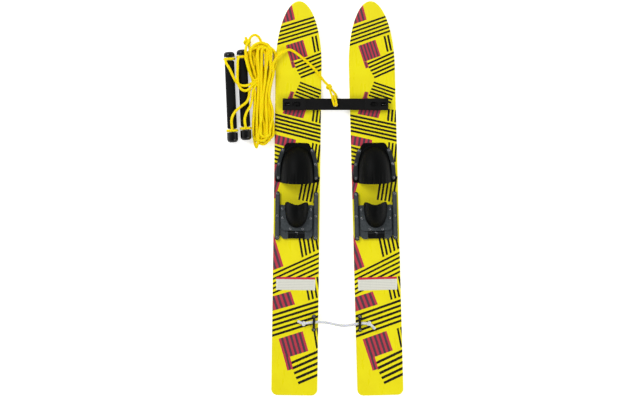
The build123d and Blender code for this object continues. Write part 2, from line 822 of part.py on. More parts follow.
def make_latch_spring(sign):
    """Return spring between the latch and the end plug."""
    start = latch_span()[1]
    length = bar_half_length - plug_length - start
    middle = web_top + latch_play + latch_thickness / 2
    spring = coil(latch_spring_mean, latch_spring_wire, latch_spring_turns, length)
    return Rot(0, 0, 90 - sign * 90) * Pos(start, 0, middle) * Rot(0, 90, 0) * spring


def make_end_plug(sign):
    """Plug that closes the latch channel at the bar's end."""
    start = bar_half_length - plug_length
    half = latch_width / 2 + latch_play - plug_play
    low = web_top + plug_play
    shoulder = web_top + latch_thickness + 2 * latch_play - plug_play
    body = block((start, bar_half_length), (-half, half), (low, shoulder))
    half = tab_half_width + latch_play - plug_play
    body += block((start, bar_half_length), (-half, half), (low, block_top))
    return Rot(0, 0, 90 - sign * 90) * body


# --- Tail loops ---------------------------------------------------------------------------------
def make_tail_loop(side):
    """Bridge-shaped strap on two round feet, which the tail cord passes under."""
    outer_half = loop_clear_half + loop_strap_thickness
    half_width = loop_strap_width / 2
    top = loop_clear_height + loop_strap_thickness
    x_span = (-half_width, half_width)
    arch = block(x_span, (-outer_half, outer_half), (0, top))
    arch = fillet(arch.edges().filter_by(Axis.X).group_by(Axis.Z)[-1], loop_round)
    clear_span = (-loop_clear_half, loop_clear_half)
    room = block((-loop_strap_width, loop_strap_width), clear_span, (-1, loop_clear_height))
    room = fillet(room.edges().filter_by(Axis.X).group_by(Axis.Z)[-1], loop_round * 0.5)
    loop = arch - room
    for step in (-1, 1):
        foot_y = step * loop_screw_reach
        foot = Pos(0, foot_y, loop_foot_thickness / 2) * Cylinder(loop_foot_radius, loop_foot_thickness)
        neck_span = sorted((step * loop_clear_half, foot_y))
        loop += foot + block(x_span, neck_span, (0, loop_foot_thickness))
    group = deck_screw_groups(side)["loop"]
    return loop_place(side) * loop - screw_holes(group, deck_screw_length(group))


# --- Handles ------------------------------------------------------------------------------------
def ring_radius():
    """Radius of the rope's centre line where it is wound round a handle's core."""
    return handle_core_radius + rope_seat + rope_radius


def groove_places():
    """Middles of the two rope grooves along a handle, from the long cap to the short one."""
    half = handle_length / 2
    return -half + long_cap + groove_width / 2, half - short_cap - groove_width / 2


def handle_frame(name):
    """A handle lies along Y, its short cap towards the tips, resting on the rope in its grooves."""
    x, y, turn = handle_places[name]
    return Pos(x, y, ring_radius() + rope_radius) * Rot(0, 0, turn) * Rot(-90, 0, 0)


def tube_between(low, high, outer, inner):
    middle = Pos(0, 0, (low + high) / 2)
    return middle * (Cylinder(outer, high - low) - Cylinder(inner, high - low + 1))


def make_handle_core():
    half = handle_length / 2 - cap_end
    return tube_between(-half, half, handle_core_radius, handle_core_bore)


def make_handle_grip():
    """Foam sleeve between the two grooves."""
    low, high = groove_places()
    room = groove_width / 2
    grip = tube_between(low + room, high - room, grip_radius, handle_core_radius + cap_play)
    ends = grip.edges().filter_by(GeomType.CIRCLE).filter_by(
        lambda edge: abs(edge.radius - grip_radius) < 0.01
    )
    return fillet(ends, grip_end_round)


def make_handle_cap(length, sign):
    """End cap that closes the core and keeps the rope in its groove."""
    half = handle_length / 2
    cap = Pos(0, 0, length / 2) * Cylinder(cap_radius, length)
    cap = fillet(cap.edges().sort_by(Axis.Z)[-1], cap_round)
    bore_depth = length - cap_end
    cap -= Pos(0, 0, bore_depth / 2 - 1) * Cylinder(handle_core_radius + cap_play, bore_depth + 2)
    return Rot(90 - sign * 90, 0, 0) * Pos(0, 0, half - length) * cap


# --- Ropes and cord -----------------------------------------------------------------------------
# Routes are lists of points chosen by hand, in the frame of the whole object.
lead_route = (
    (-129, 393, 27),
    (-117, 411, 34),
    (-104, 425, 35),
    (-89, 437, 33),
    (-72, 444, 31.5),
    (-56, 436, 29.5),
    (-34, 419, 26),
    (-3, 392, 22.5),
    (25, 357, 22),
    (37, 342, 13.5),
    (46, 332, 10),
)
eye_route = (
    (49, 328, 11),
    (52.5, 315, 22),
    (58.5, 306, 37),
    (64.5, 280, 37),
    (64.5, 280.5, 9.5),
    (60, 306.5, 8.6),
    (53.5, 318, 8.4),
    (49, 328, 9),
)
eye_knot = (48, 331, 10)
a_upper_end = ((-203, 325, 47), (-185, 326, 42), (-171, 333, 34))
a_lower_end = ((-203, 297, 46), (-196, 315, 44.5), (-184, 328, 40.5), (-170, 336, 34))
b_upper_end = ((-198, 341, 46), (-182, 347, 41), (-170, 355, 34))
bridle_routes = {
    "a": (
        (1, -40, ((-249, 384, 44), (-237, 358, 46), (-221, 336, 47.5), *a_upper_end)),
        (0, 0, ((-240, 238, 46), (-230, 262, 47), (-214, 279, 47), *a_lower_end)),
    ),
    "b": (
        (1, -40, ((-225, 389, 44), (-226, 366, 46), (-216, 347, 47.5), *b_upper_end)),
        (1, 30, ((-196, 394, 43), (-187, 377, 42), (-174, 366, 35))),
        (0, 0, ((-204, 244, 46), (-201, 268, 46), (-195, 292, 44.5), (-184, 309, 41), (-169, 318, 34))),
    ),
}
tail_route = (
    (-29, -370, 43.9),
    (-14, -367.5, 42.2),
    (2, -366, 41.3),
    (21, -365.5, 41.2),
    (41, -367.5, 40.8),
    (62, -372.5, 38),
    (84, -377, 36.6),
    (104, -376, 40.4),
    (121, -372.5, 41.3),
    (137, -370, 41.4),
    (151, -369, 42.4),
    (163, -370, 43.9),
)
tail_ends = {"left": ((-29, -370, 42), (-48, -363, 41)), "right": ((163, -370, 42), (182, -387, 41.8))}
hank_outline = (
    (-193, 434),
    (-193, 392),
    (-187, 350),
    (-179, 306),
    (-176, 260),
    (-180, 208),
    (-178, 172),
    (-170, 154),
    (-152, 168),
    (-130, 175),
    (-120.5, 186),
    (-119.5, 232),
    (-127, 268),
    (-131, 296),
    (-125, 336),
    (-118, 384),
    (-117.5, 420),
    (-134, 448),
    (-164, 459),
    (-186, 452),
)
hank_height = 34.0
hank_round = 11.0
hank_corner = 9.0
hank_eye = (-174, 469, 16)
hank_eye_radius = 13.6
exit_rise = 7.0
exit_reach = 6.5


def rope(name, points, radius):
    """Round rope along straight runs that are joined by arcs as large as the runs allow."""
    corners = [Vector(*point) for point in points]
    radii = []
    for before, here, after in zip(corners, corners[1:], corners[2:]):
        arrive = here - before
        leave = after - here
        half_turn = math.radians(arrive.get_angle(leave) / 2)
        radii.append(0.45 * min(arrive.length, leave.length) / math.tan(half_turn))
    path = FilletPolyline(*corners, radius=radii)
    start = Plane(origin=path @ 0, z_dir=path % 0)
    solid = sweep(start * Circle(radius), path=path)
    share = solid.volume / (math.pi * radius**2 * path.length)
    print(f"{name}: length {path.length:.0f}, radii {[round(r) for r in radii]}, volume x{share:.3f}")
    return solid


def knot(place, radius):
    """Plain closed shape of a pulled-tight knot."""
    return Pos(*place) * ellipsoid(radius * 1.15, radius, radius * 0.95)


def groove_exit(name, groove, turn):
    """Two points of a strand that leaves its ring and climbs over the edge of the grip."""
    inward = (1, -1)[groove]
    ring = handle_frame(name) * Pos(0, 0, groove_places()[groove]) * Rot(0, 0, turn)
    start = ring * Pos(0, -ring_radius(), 0)
    over = ring * Pos(0, -grip_radius - exit_rise, inward * exit_reach)
    return tuple(start.position), tuple(over.position)


def make_bridle(name):
    """Bridle of one handle: its rings in the grooves and its strands to the hank."""
    pieces = [
        handle_frame(name) * Pos(0, 0, place) * Torus(ring_radius(), rope_radius)
        for place in groove_places()
    ]
    for groove, turn, points in bridle_routes[name]:
        route = (*groove_exit(name, groove, turn), *points)
        pieces.append(rope(f"bridle {name}, groove {groove}", route, rope_radius))
    return Compound(pieces)


def make_hank():
    """Closed solid with the outer shape of the folded rope and its standing loop."""
    outline = Polygon(*hank_outline, align=None)
    outline = fillet(outline.vertices(), hank_corner)
    body = extrude(outline, hank_height)
    body = fillet(body.edges().group_by(Axis.Z)[-1], hank_round)
    eye = Pos(*hank_eye) * Torus(hank_eye_radius, rope_radius)
    return body + eye


def make_tail_knot(side):
    start, end = tail_ends[side]
    middle = {"left": tail_route[0], "right": tail_route[-1]}[side]
    direction = Vector(*end) - Vector(*start)
    stub = Plane(origin=start, z_dir=direction) * Cylinder(
        tail_cord_radius, direction.length, align=(Align.CENTER, Align.CENTER, Align.MIN)
    )
    return knot(middle, tail_knot_radius) + stub


# --- Assembly -----------------------------------------------------------------------------------
parts = {}


def keep(name, shape, place=Pos(0, 0, 0)):
    parts[name] = place * shape


def build_ski_pieces(side):
    base = ski_frame(side)
    deck = base * on_deck
    inner = -sides[side]
    keep(f"{side}_ski", make_ski(side), base)
    keep(f"{side}_fin", make_fin(), base)
    keep(f"{side}_deck_screws", make_deck_screws(side), base)
    keep(f"{side}_toe_rubber", make_toe_rubber(), deck)
    keep(f"{side}_toe_strip_inner", make_toe_strip(inner), deck)
    keep(f"{side}_toe_strip_outer", make_toe_strip(-inner), deck)
    keep(f"{side}_rail_inner", make_rail(side, inner), deck)
    keep(f"{side}_rail_outer", make_rail(side, -inner), deck)
    keep(f"{side}_rack", make_rack(), deck)
    keep(f"{side}_bar_stud", make_bar_stud(side), deck)
    keep(f"{side}_tail_loop", make_tail_loop(side), deck)
    keep(f"{side}_heel_plate", make_heel_plate(), deck)
    keep(f"{side}_heel_rubber", make_heel_rubber(), deck)
    keep(f"{side}_heel_frame", make_heel_frame(), deck)
    heel_screws = screws(heel_screw_places(), heel_screw_length())
    keep(f"{side}_heel_screws", Compound(heel_screws), deck)
    keep(f"{side}_lock_lever", make_lock_lever(), deck)
    keep(f"{side}_lever_pin", pin_place() * Cylinder(pin_radius, 2 * pin_half_length), deck)
    keep(f"{side}_lever_spring", make_lever_spring(), deck)


def build_bar_pieces():
    deck = deck_frame * on_deck
    keep("spreader_bar", make_spreader_bar(), deck)
    for side, sign in sides.items():
        keep(f"{side}_bar_latch", make_latch(sign), deck)
        keep(f"{side}_latch_spring", make_latch_spring(sign), deck)
        keep(f"{side}_end_plug", make_end_plug(sign), deck)


def build_ropes():
    for name in handle_places:
        place = handle_frame(name)
        keep(f"handle_{name}_core", make_handle_core(), place)
        keep(f"handle_{name}_grip", make_handle_grip(), place)
        keep(f"handle_{name}_short_cap", make_handle_cap(short_cap, 1), place)
        keep(f"handle_{name}_long_cap", make_handle_cap(long_cap, -1), place)
        keep(f"bridle_{name}", make_bridle(name))
    keep("tow_rope_hank", make_hank())
    keep("tow_rope_lead", rope("lead", lead_route, rope_radius))
    keep("tow_eye", Compound([rope("eye", eye_route, rope_radius), knot(eye_knot, 2 * rope_radius)]))
    keep("tail_cord", rope("tail cord", tail_route, tail_cord_radius))
    for side in sides:
        keep(f"tail_knot_{side}", make_tail_knot(side))


def main():
    os.makedirs("parts", exist_ok=True)
    print(f"tilt {tilt:.3f} degrees, lift {lift:.2f}")
    for side in sides:
        build_ski_pieces(side)
    build_bar_pieces()
    build_ropes()
    for name, shape in parts.items():
        export_step(shape, f"parts/{name}.step")
    print(len(parts), "nodes")


main()
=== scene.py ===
import json
import math
import random

import bmesh
import bpy
from mathutils import Matrix, Vector


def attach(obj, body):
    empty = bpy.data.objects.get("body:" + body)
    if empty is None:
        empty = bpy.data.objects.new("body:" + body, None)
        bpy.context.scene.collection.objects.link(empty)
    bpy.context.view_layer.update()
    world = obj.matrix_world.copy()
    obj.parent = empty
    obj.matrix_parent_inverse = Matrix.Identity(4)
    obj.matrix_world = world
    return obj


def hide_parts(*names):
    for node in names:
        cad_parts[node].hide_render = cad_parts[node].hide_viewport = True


# A pair of beginners' water skis with bar, tail cord and tow rope. Lengths in the tables are
# millimetres, as in the part's source, and are turned into metres where they are used.
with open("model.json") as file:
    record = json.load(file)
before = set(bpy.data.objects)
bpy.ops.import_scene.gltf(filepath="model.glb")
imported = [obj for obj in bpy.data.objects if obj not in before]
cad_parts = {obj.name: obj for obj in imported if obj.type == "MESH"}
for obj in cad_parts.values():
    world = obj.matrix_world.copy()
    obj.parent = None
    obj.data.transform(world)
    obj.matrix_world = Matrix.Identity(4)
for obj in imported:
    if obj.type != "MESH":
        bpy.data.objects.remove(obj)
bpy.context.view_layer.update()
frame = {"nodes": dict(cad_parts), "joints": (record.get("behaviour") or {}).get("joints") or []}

MM = 0.001
CAMERA_PLACE = (0.0186, -0.0036, 20.0)
CAMERA_LENS = 378.4
SIDES = ("left", "right")
JOINTS = {joint["name"]: joint for joint in frame["joints"]}
nodes = frame["nodes"]


# --- Camera and lamps ---
def add_camera():
    """Straight above the pair, from so far off that heights hardly spread."""
    data = bpy.data.cameras.new("camera")
    data.sensor_width = 36.0
    data.lens = CAMERA_LENS
    camera = bpy.data.objects.new("camera", data)
    camera.location = CAMERA_PLACE
    bpy.context.scene.collection.objects.link(camera)
    bpy.context.scene.camera = camera


def add_lamp(name, place, size, power):
    """An area lamp that shines at the middle of the floor."""
    data = bpy.data.lights.new(name, "AREA")
    data.shape = "RECTANGLE"
    data.size, data.size_y = size
    data.energy = power
    lamp = bpy.data.objects.new(name, data)
    lamp.location = place
    lamp.rotation_euler = (-Vector(place)).to_track_quat("-Z", "Y").to_euler()
    bpy.context.scene.collection.objects.link(lamp)


add_camera()


# --- Node trees ---
def srgb(red, green, blue):
    def linear(value):
        value /= 255.0
        return value / 12.92 if value <= 0.04045 else ((value + 0.055) / 1.055) ** 2.4

    return (linear(red), linear(green), linear(blue), 1.0)


class Tree:
    """Short words for building a node tree."""

    def __init__(self, tree):
        self.tree = tree

    def node(self, kind, inputs=None, **settings):
        made = self.tree.nodes.new(kind)
        for name, value in settings.items():
            setattr(made, name, value)
        for name, value in (inputs or {}).items():
            self.put(made.inputs[name], value)
        return made

    def put(self, socket, value):
        if isinstance(value, bpy.types.NodeSocket):
            self.tree.links.new(value, socket)
        else:
            socket.default_value = value

    def math(self, operation, *values):
        made = self.node("ShaderNodeMath", operation=operation)
        for socket, value in zip(made.inputs, values):
            self.put(socket, value)
        return made.outputs[0]

    def dot(self, a, b):
        made = self.node("ShaderNodeVectorMath", operation="DOT_PRODUCT")
        self.put(made.inputs[0], a)
        self.put(made.inputs[1], b)
        return made.outputs["Value"]

    def mix(self, share, a, b):
        made = self.node("ShaderNodeMix", data_type="RGBA")
        for socket, value in zip((made.inputs[0], made.inputs[6], made.inputs[7]), (share, a, b)):
            self.put(socket, value)
        return made.outputs[2]

    def noise(self, vector, scale, detail=4.0, roughness=0.55):
        inputs = {"Vector": vector, "Scale": scale, "Detail": detail, "Roughness": roughness}
        return self.node("ShaderNodeTexNoise", inputs).outputs[0]

    def stretch(self, vector, factors):
        made = self.node("ShaderNodeVectorMath", operation="MULTIPLY")
        self.put(made.inputs[0], vector)
        self.put(made.inputs[1], factors)
        return made.outputs[0]

    def span(self, value, low, high, out_low=0.0, out_high=1.0):
        inputs = {0: value, 1: low, 2: high, 3: out_low, 4: out_high}
        return self.node("ShaderNodeMapRange", inputs).outputs[0]

    def bump(self, height, distance, strength=1.0, normal=None):
        inputs = {"Height": height, "Distance": distance, "Strength": strength}
        if normal is not None:
            inputs["Normal"] = normal
        return self.node("ShaderNodeBump", inputs).outputs[0]


def new_material(name):
    """A material's tree, its shader and its object coordinates."""
    material = bpy.data.materials.new(name)
    material.use_nodes = True
    tree = Tree(material.node_tree)
    shader = material.node_tree.nodes["Principled BSDF"]
    coordinates = tree.node("ShaderNodeTexCoord")
    return material, tree, shader, coordinates


def worn_share(tree, coordinates):
    """Share of wear, highest on outward edges and broken up by noise."""
    geometry = tree.node("ShaderNodeNewGeometry")
    edge = tree.span(geometry.outputs["Pointiness"], 0.53, 0.62)
    return tree.math("MULTIPLY", edge, tree.noise(coordinates.outputs["Object"], 180.0))


def moulded(name, colour, worn, roughness, grain, grain_scale, specular):
    """Moulded plastic or rubber: a fine grain, soft blotches and paler edges."""
    material, tree, shader, coordinates = new_material(name)
    place = coordinates.outputs["Object"]
    blotches = tree.noise(place, 35.0, 5.0)
    base = tree.mix(tree.span(blotches, 0.35, 0.65), colour, [0.82 * c for c in colour[:3]] + [1.0])
    tree.put(shader.inputs["Base Color"], tree.mix(worn_share(tree, coordinates), base, worn))
    scuffs = tree.noise(tree.stretch(place, (1.0, 0.12, 1.0)), 900.0, 3.0)
    rough = tree.math("ADD", roughness, tree.span(scuffs, 0.3, 0.7, -0.07, 0.07))
    tree.put(shader.inputs["Roughness"], rough)
    shader.inputs["Specular IOR Level"].default_value = specular
    fine = tree.noise(place, grain_scale, 2.0)
    tree.put(shader.inputs["Normal"], tree.bump(fine, grain))
    return material


def steel(name, tint, roughness):
    """Turned stainless steel with fine scratches and a little patchy dullness."""
    material, tree, shader, coordinates = new_material(name)
    place = coordinates.outputs["Object"]
    dull = tree.noise(place, 500.0, 4.0)
    tree.put(shader.inputs["Base Color"], tree.mix(dull, tint, [0.7 * c for c in tint[:3]] + [1.0]))
    shader.inputs["Metallic"].default_value = 1.0
    scratches = tree.noise(tree.stretch(place, (1.0, 6.0, 1.0)), 1500.0, 3.0)
    rough = tree.span(scratches, 0.3, 0.7, roughness - 0.08, roughness + 0.1)
    tree.put(shader.inputs["Roughness"], rough)
    tree.put(shader.inputs["Normal"], tree.bump(scratches, 0.00004))
    return material


# --- Printed skis ---
# The bar's stud on a ski: its station from the tail, and its joint's height over the flat base.
BAR_STATION = 864
PIVOT_HEIGHT = 16
# The print is laid out on the ski: across from its middle, and along from its tail. Each field is
# three corners (start, end of the first stripe, start of the last), its stripes and their share.
BAR_FIELDS = (
    ((-80, 1085.5), (65, 1131.5), (-79, 1034), 5, 0.52),
    ((37, 1064.5), (46, 1018.5), (53, 1069), 2, 0.58),
    ((-15.5, 986.5), (66.5, 1020), (8, 941.5), 5, 0.52),
    ((6, 932.5), (72, 908), (-12, 890), 5, 0.54),
    ((45, 851), (41, 815), (72.5, 844.5), 3, 0.58),
    ((-81, 840.5), (86, 799.5), (-80, 788), 5, 0.57),
    ((-79.5, 746), (-8.5, 723.5), (-79, 690), 5, 0.49),
    ((43.5, 751.5), (37.5, 697.5), (70, 745), 3, 0.56),
    ((18, 658), (4, 581), (68.5, 649), 5, 0.54),
    ((17, 409), (2.5, 487.5), (68, 434.5), 5, 0.52),
    ((-80, 356), (81, 431.5), (-79, 294), 5, 0.46),
    ((38, 282.5), (26, 342), (78.5, 294), 4, 0.51),
    ((-81, 235.5), (84, 289.5), (-80.5, 168.5), 5, 0.49),
    ((53.5, 197), (63.5, 140), (69, 202.5), 2, 0.56),
    ((-15, 98), (78, 139.5), (13, 33), 5, 0.49),
)
BLOCK_FIELDS = (
    ((-11.5, 1114.5), (-22.5, 1159.5), (-63.5, 1098), 4, 0.5),
    ((13, 1055.5), (27.5, 1007.5), (-38.5, 1038.5), 5, 0.5),
    ((-14.5, 993), (-8.5, 974.5), (-24, 990), 1, 0.5),
    ((16, 823), (32.5, 873), (-45.5, 837), 5, 0.5),
    ((-20.5, 871.5), (-11, 901), (-32, 874), 1, 0.5),
    ((-4, 759), (-9, 732), (-76, 777), 5, 0.5),
    ((-36, 679.5), (-64, 584), (-79, 689), 3, 0.5),
    ((-36.5, 383), (-69, 483.5), (-82.5, 364.5), 3, 0.5),
    ((-0.5, 270), (-14.5, 309), (-77, 247.5), 5, 0.5),
    ((23, 191), (40.5, 132.5), (-48.5, 167.5), 5, 0.5),
    ((-14, 115), (-4, 79), (-31, 109.5), 1, 0.5),
)
PANEL_SPAN = ((-58, 58), (312.5, 351))
PANEL_HEADER = 344.5
RULED_HALF = 53
RULES_PER_MM = 0.21
RULE_SHARE = 0.25
YELLOW = srgb(243, 231, 22)
BAR_BLACK = srgb(30, 27, 18)
PALE_YELLOW = srgb(239, 225, 20)
SCRATCHED_YELLOW = srgb(214, 196, 30)
PAPER = srgb(226, 226, 214)
RULE_GREY = srgb(160, 162, 156)
HEADER_RED = srgb(200, 54, 70)
CRIMSON = srgb(190, 60, 78)
BLOCK_DARK = srgb(84, 62, 72)


def stripes_group():
    """Node group: a parallelogram and the stripes in it, from two coordinates that run 0 to 1."""
    group = bpy.data.node_groups.new("stripes", "ShaderNodeTree")
    words = ("Point", "Along", "Across")
    numbers = ("Along start", "Across start", "Stripes", "Lead", "Share")
    for word in words:
        group.interface.new_socket(word, in_out="INPUT", socket_type="NodeSocketVector")
    for word in numbers:
        group.interface.new_socket(word, in_out="INPUT", socket_type="NodeSocketFloat")
    for word in ("Field", "Stripe"):
        group.interface.new_socket(word, in_out="OUTPUT", socket_type="NodeSocketFloat")
    tree = Tree(group)
    given = group.nodes.new("NodeGroupInput").outputs
    a = tree.math("SUBTRACT", tree.dot(given["Point"], given["Along"]), given["Along start"])
    b = tree.math("SUBTRACT", tree.dot(given["Point"], given["Across"]), given["Across start"])
    near_a = tree.math("COMPARE", a, 0.5, 0.5)
    near_b = tree.math("COMPARE", b, 0.5, 0.5)
    field = tree.math("MULTIPLY", near_a, near_b)
    turn = tree.math("SUBTRACT", tree.math("MULTIPLY", b, given["Stripes"]), given["Lead"])
    in_stripe = tree.math("LESS_THAN", tree.math("FRACT", turn), given["Share"])
    result = group.nodes.new("NodeGroupOutput").inputs
    tree.put(result["Field"], field)
    tree.put(result["Stripe"], tree.math("MULTIPLY", field, in_stripe))
    return group


def add_field(tree, group, point, field, edged):
    """One field of the print. With edged, the ground shows outside its first and last stripe."""
    (x0, y0), (x1, y1), (x2, y2), count, share = field
    ax, ay, bx, by = x1 - x0, y1 - y0, x2 - x0, y2 - y0
    size = ax * by - ay * bx
    along = (by / size, -bx / size, 0.0)
    across = (-ay / size, ax / size, 0.0)
    gap = 1.0 - share
    made = tree.node("ShaderNodeGroup", node_tree=group)
    values = {
        "Point": point,
        "Along": along,
        "Across": across,
        "Along start": along[0] * x0 + along[1] * y0,
        "Across start": across[0] * x0 + across[1] * y0,
        "Stripes": count + gap if edged else count - gap,
        "Lead": gap if edged else 0.0,
        "Share": share,
    }
    for name, value in values.items():
        tree.put(made.inputs[name], value)
    return made.outputs["Field"], made.outputs["Stripe"]


def highest(tree, masks):
    total = masks[0]
    for mask in masks[1:]:
        total = tree.math("MAXIMUM", total, mask)
    return total


def between(tree, value, low, high):
    return tree.math("COMPARE", value, (low + high) / 2, (high - low) / 2)


def ski_matrix(side):
    """Frame of a ski's flat base, with y from its tail."""
    up = Vector(JOINTS[f"{side}_ski_pivot"]["axis"]).normalized()
    along = Vector(JOINTS[f"{side}_heel_slide"]["axis"]).normalized()
    across = along.cross(up)
    pivot = Vector(JOINTS[f"{side}_ski_pivot"]["pos_m"])
    origin = pivot - up * PIVOT_HEIGHT * MM - along * BAR_STATION * MM
    return Matrix.Translation(origin) @ Matrix((across, along, up)).transposed().to_4x4()


def printed_ski(side, group):
    material, tree, shader, coordinates = new_material(f"printed_ski_{side}")
    place = ski_matrix(side).inverted()
    local = [
        tree.math(
            "ADD",
            tree.dot(coordinates.outputs["Object"], tuple(x / MM for x in place[row][:3])),
            place[row][3] / MM,
        )
        for row in range(2)
    ]
    point = tree.node("ShaderNodeCombineXYZ", {"X": local[0], "Y": local[1]}).outputs[0]
    wobble = tree.node("ShaderNodeTexNoise", {"Vector": point, "Scale": 0.15, "Detail": 2.0})
    shift = tree.node("ShaderNodeVectorMath", operation="MULTIPLY_ADD")
    tree.put(shift.inputs[0], wobble.outputs[1])
    tree.put(shift.inputs[1], (0.7, 0.7, 0.0))
    tree.put(shift.inputs[2], point)
    inked = shift.outputs[0]
    bars = [add_field(tree, group, inked, field, False)[1] for field in BAR_FIELDS]
    blocks = [add_field(tree, group, inked, field, True) for field in BLOCK_FIELDS]
    soft = tree.noise(point, 0.02, 3.0)
    colour = tree.mix(tree.span(soft, 0.35, 0.65), YELLOW, PALE_YELLOW)
    colour = tree.mix(highest(tree, bars), colour, BAR_BLACK)
    colour = tree.mix(highest(tree, [field for field, stripe in blocks]), colour, CRIMSON)
    colour = tree.mix(highest(tree, [stripe for field, stripe in blocks]), colour, BLOCK_DARK)
    across_panel = between(tree, local[0], *PANEL_SPAN[0])
    panel = tree.math("MULTIPLY", across_panel, between(tree, local[1], *PANEL_SPAN[1]))
    rules = tree.math("FRACT", tree.math("MULTIPLY", local[1], RULES_PER_MM))
    ruled = tree.math("LESS_THAN", rules, RULE_SHARE)
    ruled = tree.math("MULTIPLY", ruled, between(tree, local[0], -RULED_HALF, RULED_HALF))
    paper = tree.mix(tree.math("MULTIPLY", ruled, 0.5), PAPER, RULE_GREY)
    header = tree.math("GREATER_THAN", local[1], PANEL_HEADER)
    colour = tree.mix(panel, colour, tree.mix(header, paper, HEADER_RED))
    facing = tree.dot(coordinates.outputs["Normal"], tuple(place[2][:3]))
    on_deck = tree.math("GREATER_THAN", facing, 0.5)
    scratches = tree.noise(tree.stretch(point, (1.0, 0.04, 1.0)), 0.6, 4.0)
    plain = tree.mix(tree.span(scratches, 0.45, 0.75), YELLOW, SCRATCHED_YELLOW)
    colour = tree.mix(on_deck, plain, colour)
    tree.put(shader.inputs["Base Color"], colour)
    orange_peel = tree.noise(point, 0.25, 2.0)
    rubbed = tree.noise(tree.stretch(point, (1.0, 0.2, 1.0)), 0.08, 5.0)
    tree.put(shader.inputs["Roughness"], tree.span(rubbed, 0.3, 0.7, 0.24, 0.36))
    fine = tree.bump(tree.math("MULTIPLY", scratches, tree.span(rubbed, 0.5, 0.7)), 0.00003)
    ink = tree.bump(highest(tree, bars), 0.00004, 0.5, fine)
    tree.put(shader.inputs["Normal"], tree.bump(orange_peel, 0.00012, 0.5, ink))
    shader.inputs["Specular IOR Level"].default_value = 0.35
    shader.inputs["Coat Weight"].default_value = 0.12
    shader.inputs["Coat Roughness"].default_value = 0.12
    return material


# --- Meshes ---
def mesh_object(name, points, faces, material):
    mesh = bpy.data.meshes.new(name)
    mesh.from_pydata([tuple(point) for point in points], [], faces)
    mesh.update()
    mesh.polygons.foreach_set("use_smooth", [True] * len(mesh.polygons))
    mesh.materials.append(material)
    made = bpy.data.objects.new(name, mesh)
    bpy.context.scene.collection.objects.link(made)
    return made


def outward(made):
    """Turns every face of a closed mesh outwards."""
    work = bmesh.new()
    work.from_mesh(made.data)
    bmesh.ops.remove_doubles(work, verts=work.verts, dist=0.00001)
    bmesh.ops.recalc_face_normals(work, faces=work.faces)
    work.to_mesh(made.data)
    work.free()
    return made


def apply_modifiers(made):
    """Keeps what the modifiers make as the object's own mesh."""
    graph = bpy.context.evaluated_depsgraph_get()
    mesh = bpy.data.meshes.new_from_object(made.evaluated_get(graph))
    made.modifiers.clear()
    made.data = mesh
    return made


def remeshed(made, voxel):
    """Fuses overlapping closed shells into one skin and softens its corners."""
    remesh = made.modifiers.new("fuse", "REMESH")
    remesh.mode = "VOXEL"
    remesh.voxel_size = voxel
    remesh.use_smooth_shade = True
    soften = made.modifiers.new("soften", "SMOOTH")
    soften.factor = 0.5
    soften.iterations = SMOOTH_ROUNDS
    return apply_modifiers(made)


# --- Ropes ---
STRAND_PAIRS = 4
# Reach of the braid's valleys and the rise of its crowns, as shares of the rope's radius.
BRAID_VALLEY = 0.91
BRAID_RISE = 0.13
# Length of a step along a rope, and the number of its sides: the long rope is the coarser one.
STRAND_MESH = (1.2 * MM, 28)
HANK_MESH = (1.8 * MM, 16)
KNOT_MESH = (1.0 * MM, 20)
KNOT_STEPS = 96
KNOT_DEPTH = 1.35
RING_STEPS = 64


def nurbs_line(name, route):
    """The points of a NURBS curve of order 3 with a route's control points, in metres."""
    data = bpy.data.curves.new(name, "CURVE")
    data.dimensions = "3D"
    data.resolution_u = 12
    spline = data.splines.new("NURBS")
    spline.points.add(len(route) - 1)
    for point, (x, y, z) in zip(spline.points, route):
        point.co = (x * MM, y * MM, z * MM, 1.0)
    spline.order_u = 3
    spline.use_endpoint_u = True
    holder = bpy.data.objects.new(name, data)
    bpy.context.scene.collection.objects.link(holder)
    bpy.context.view_layer.update()
    graph = bpy.context.evaluated_depsgraph_get()
    mesh = bpy.data.meshes.new_from_object(holder.evaluated_get(graph))
    line = [vertex.co.copy() for vertex in mesh.vertices]
    bpy.data.objects.remove(holder)
    bpy.data.curves.remove(data)
    bpy.data.meshes.remove(mesh)
    return line


def line_length(line):
    return sum((b - a).length for a, b in zip(line, line[1:]))


def spaced(line, step):
    """Points at equal steps along a line."""
    count = max(2, round(line_length(line) / step))
    step = line_length(line) / count
    made = [line[0].copy()]
    need = step
    for a, b in zip(line, line[1:]):
        length = (b - a).length
        start = 0.0
        while length - start >= need and len(made) < count:
            start += need
            made.append(a.lerp(b, start / length))
            need = step
        need -= length - start
    made.append(line[-1].copy())
    return made


def braid(around, along, pairs):
    """Height of a diamond braid, 0 in its valleys and 1 on its crowns. Each pair of strands, one
    from either way round, takes one part of the round and one lay of the length."""
    one, other = pairs * around + along, pairs * around - along
    over = math.sin(math.pi * (one % 1)), math.sin(math.pi * (other % 1))
    if (math.floor(one) + math.floor(other)) % 2:
        over = over[::-1]
    return over[0] ** 0.8 * over[1] ** 0.35


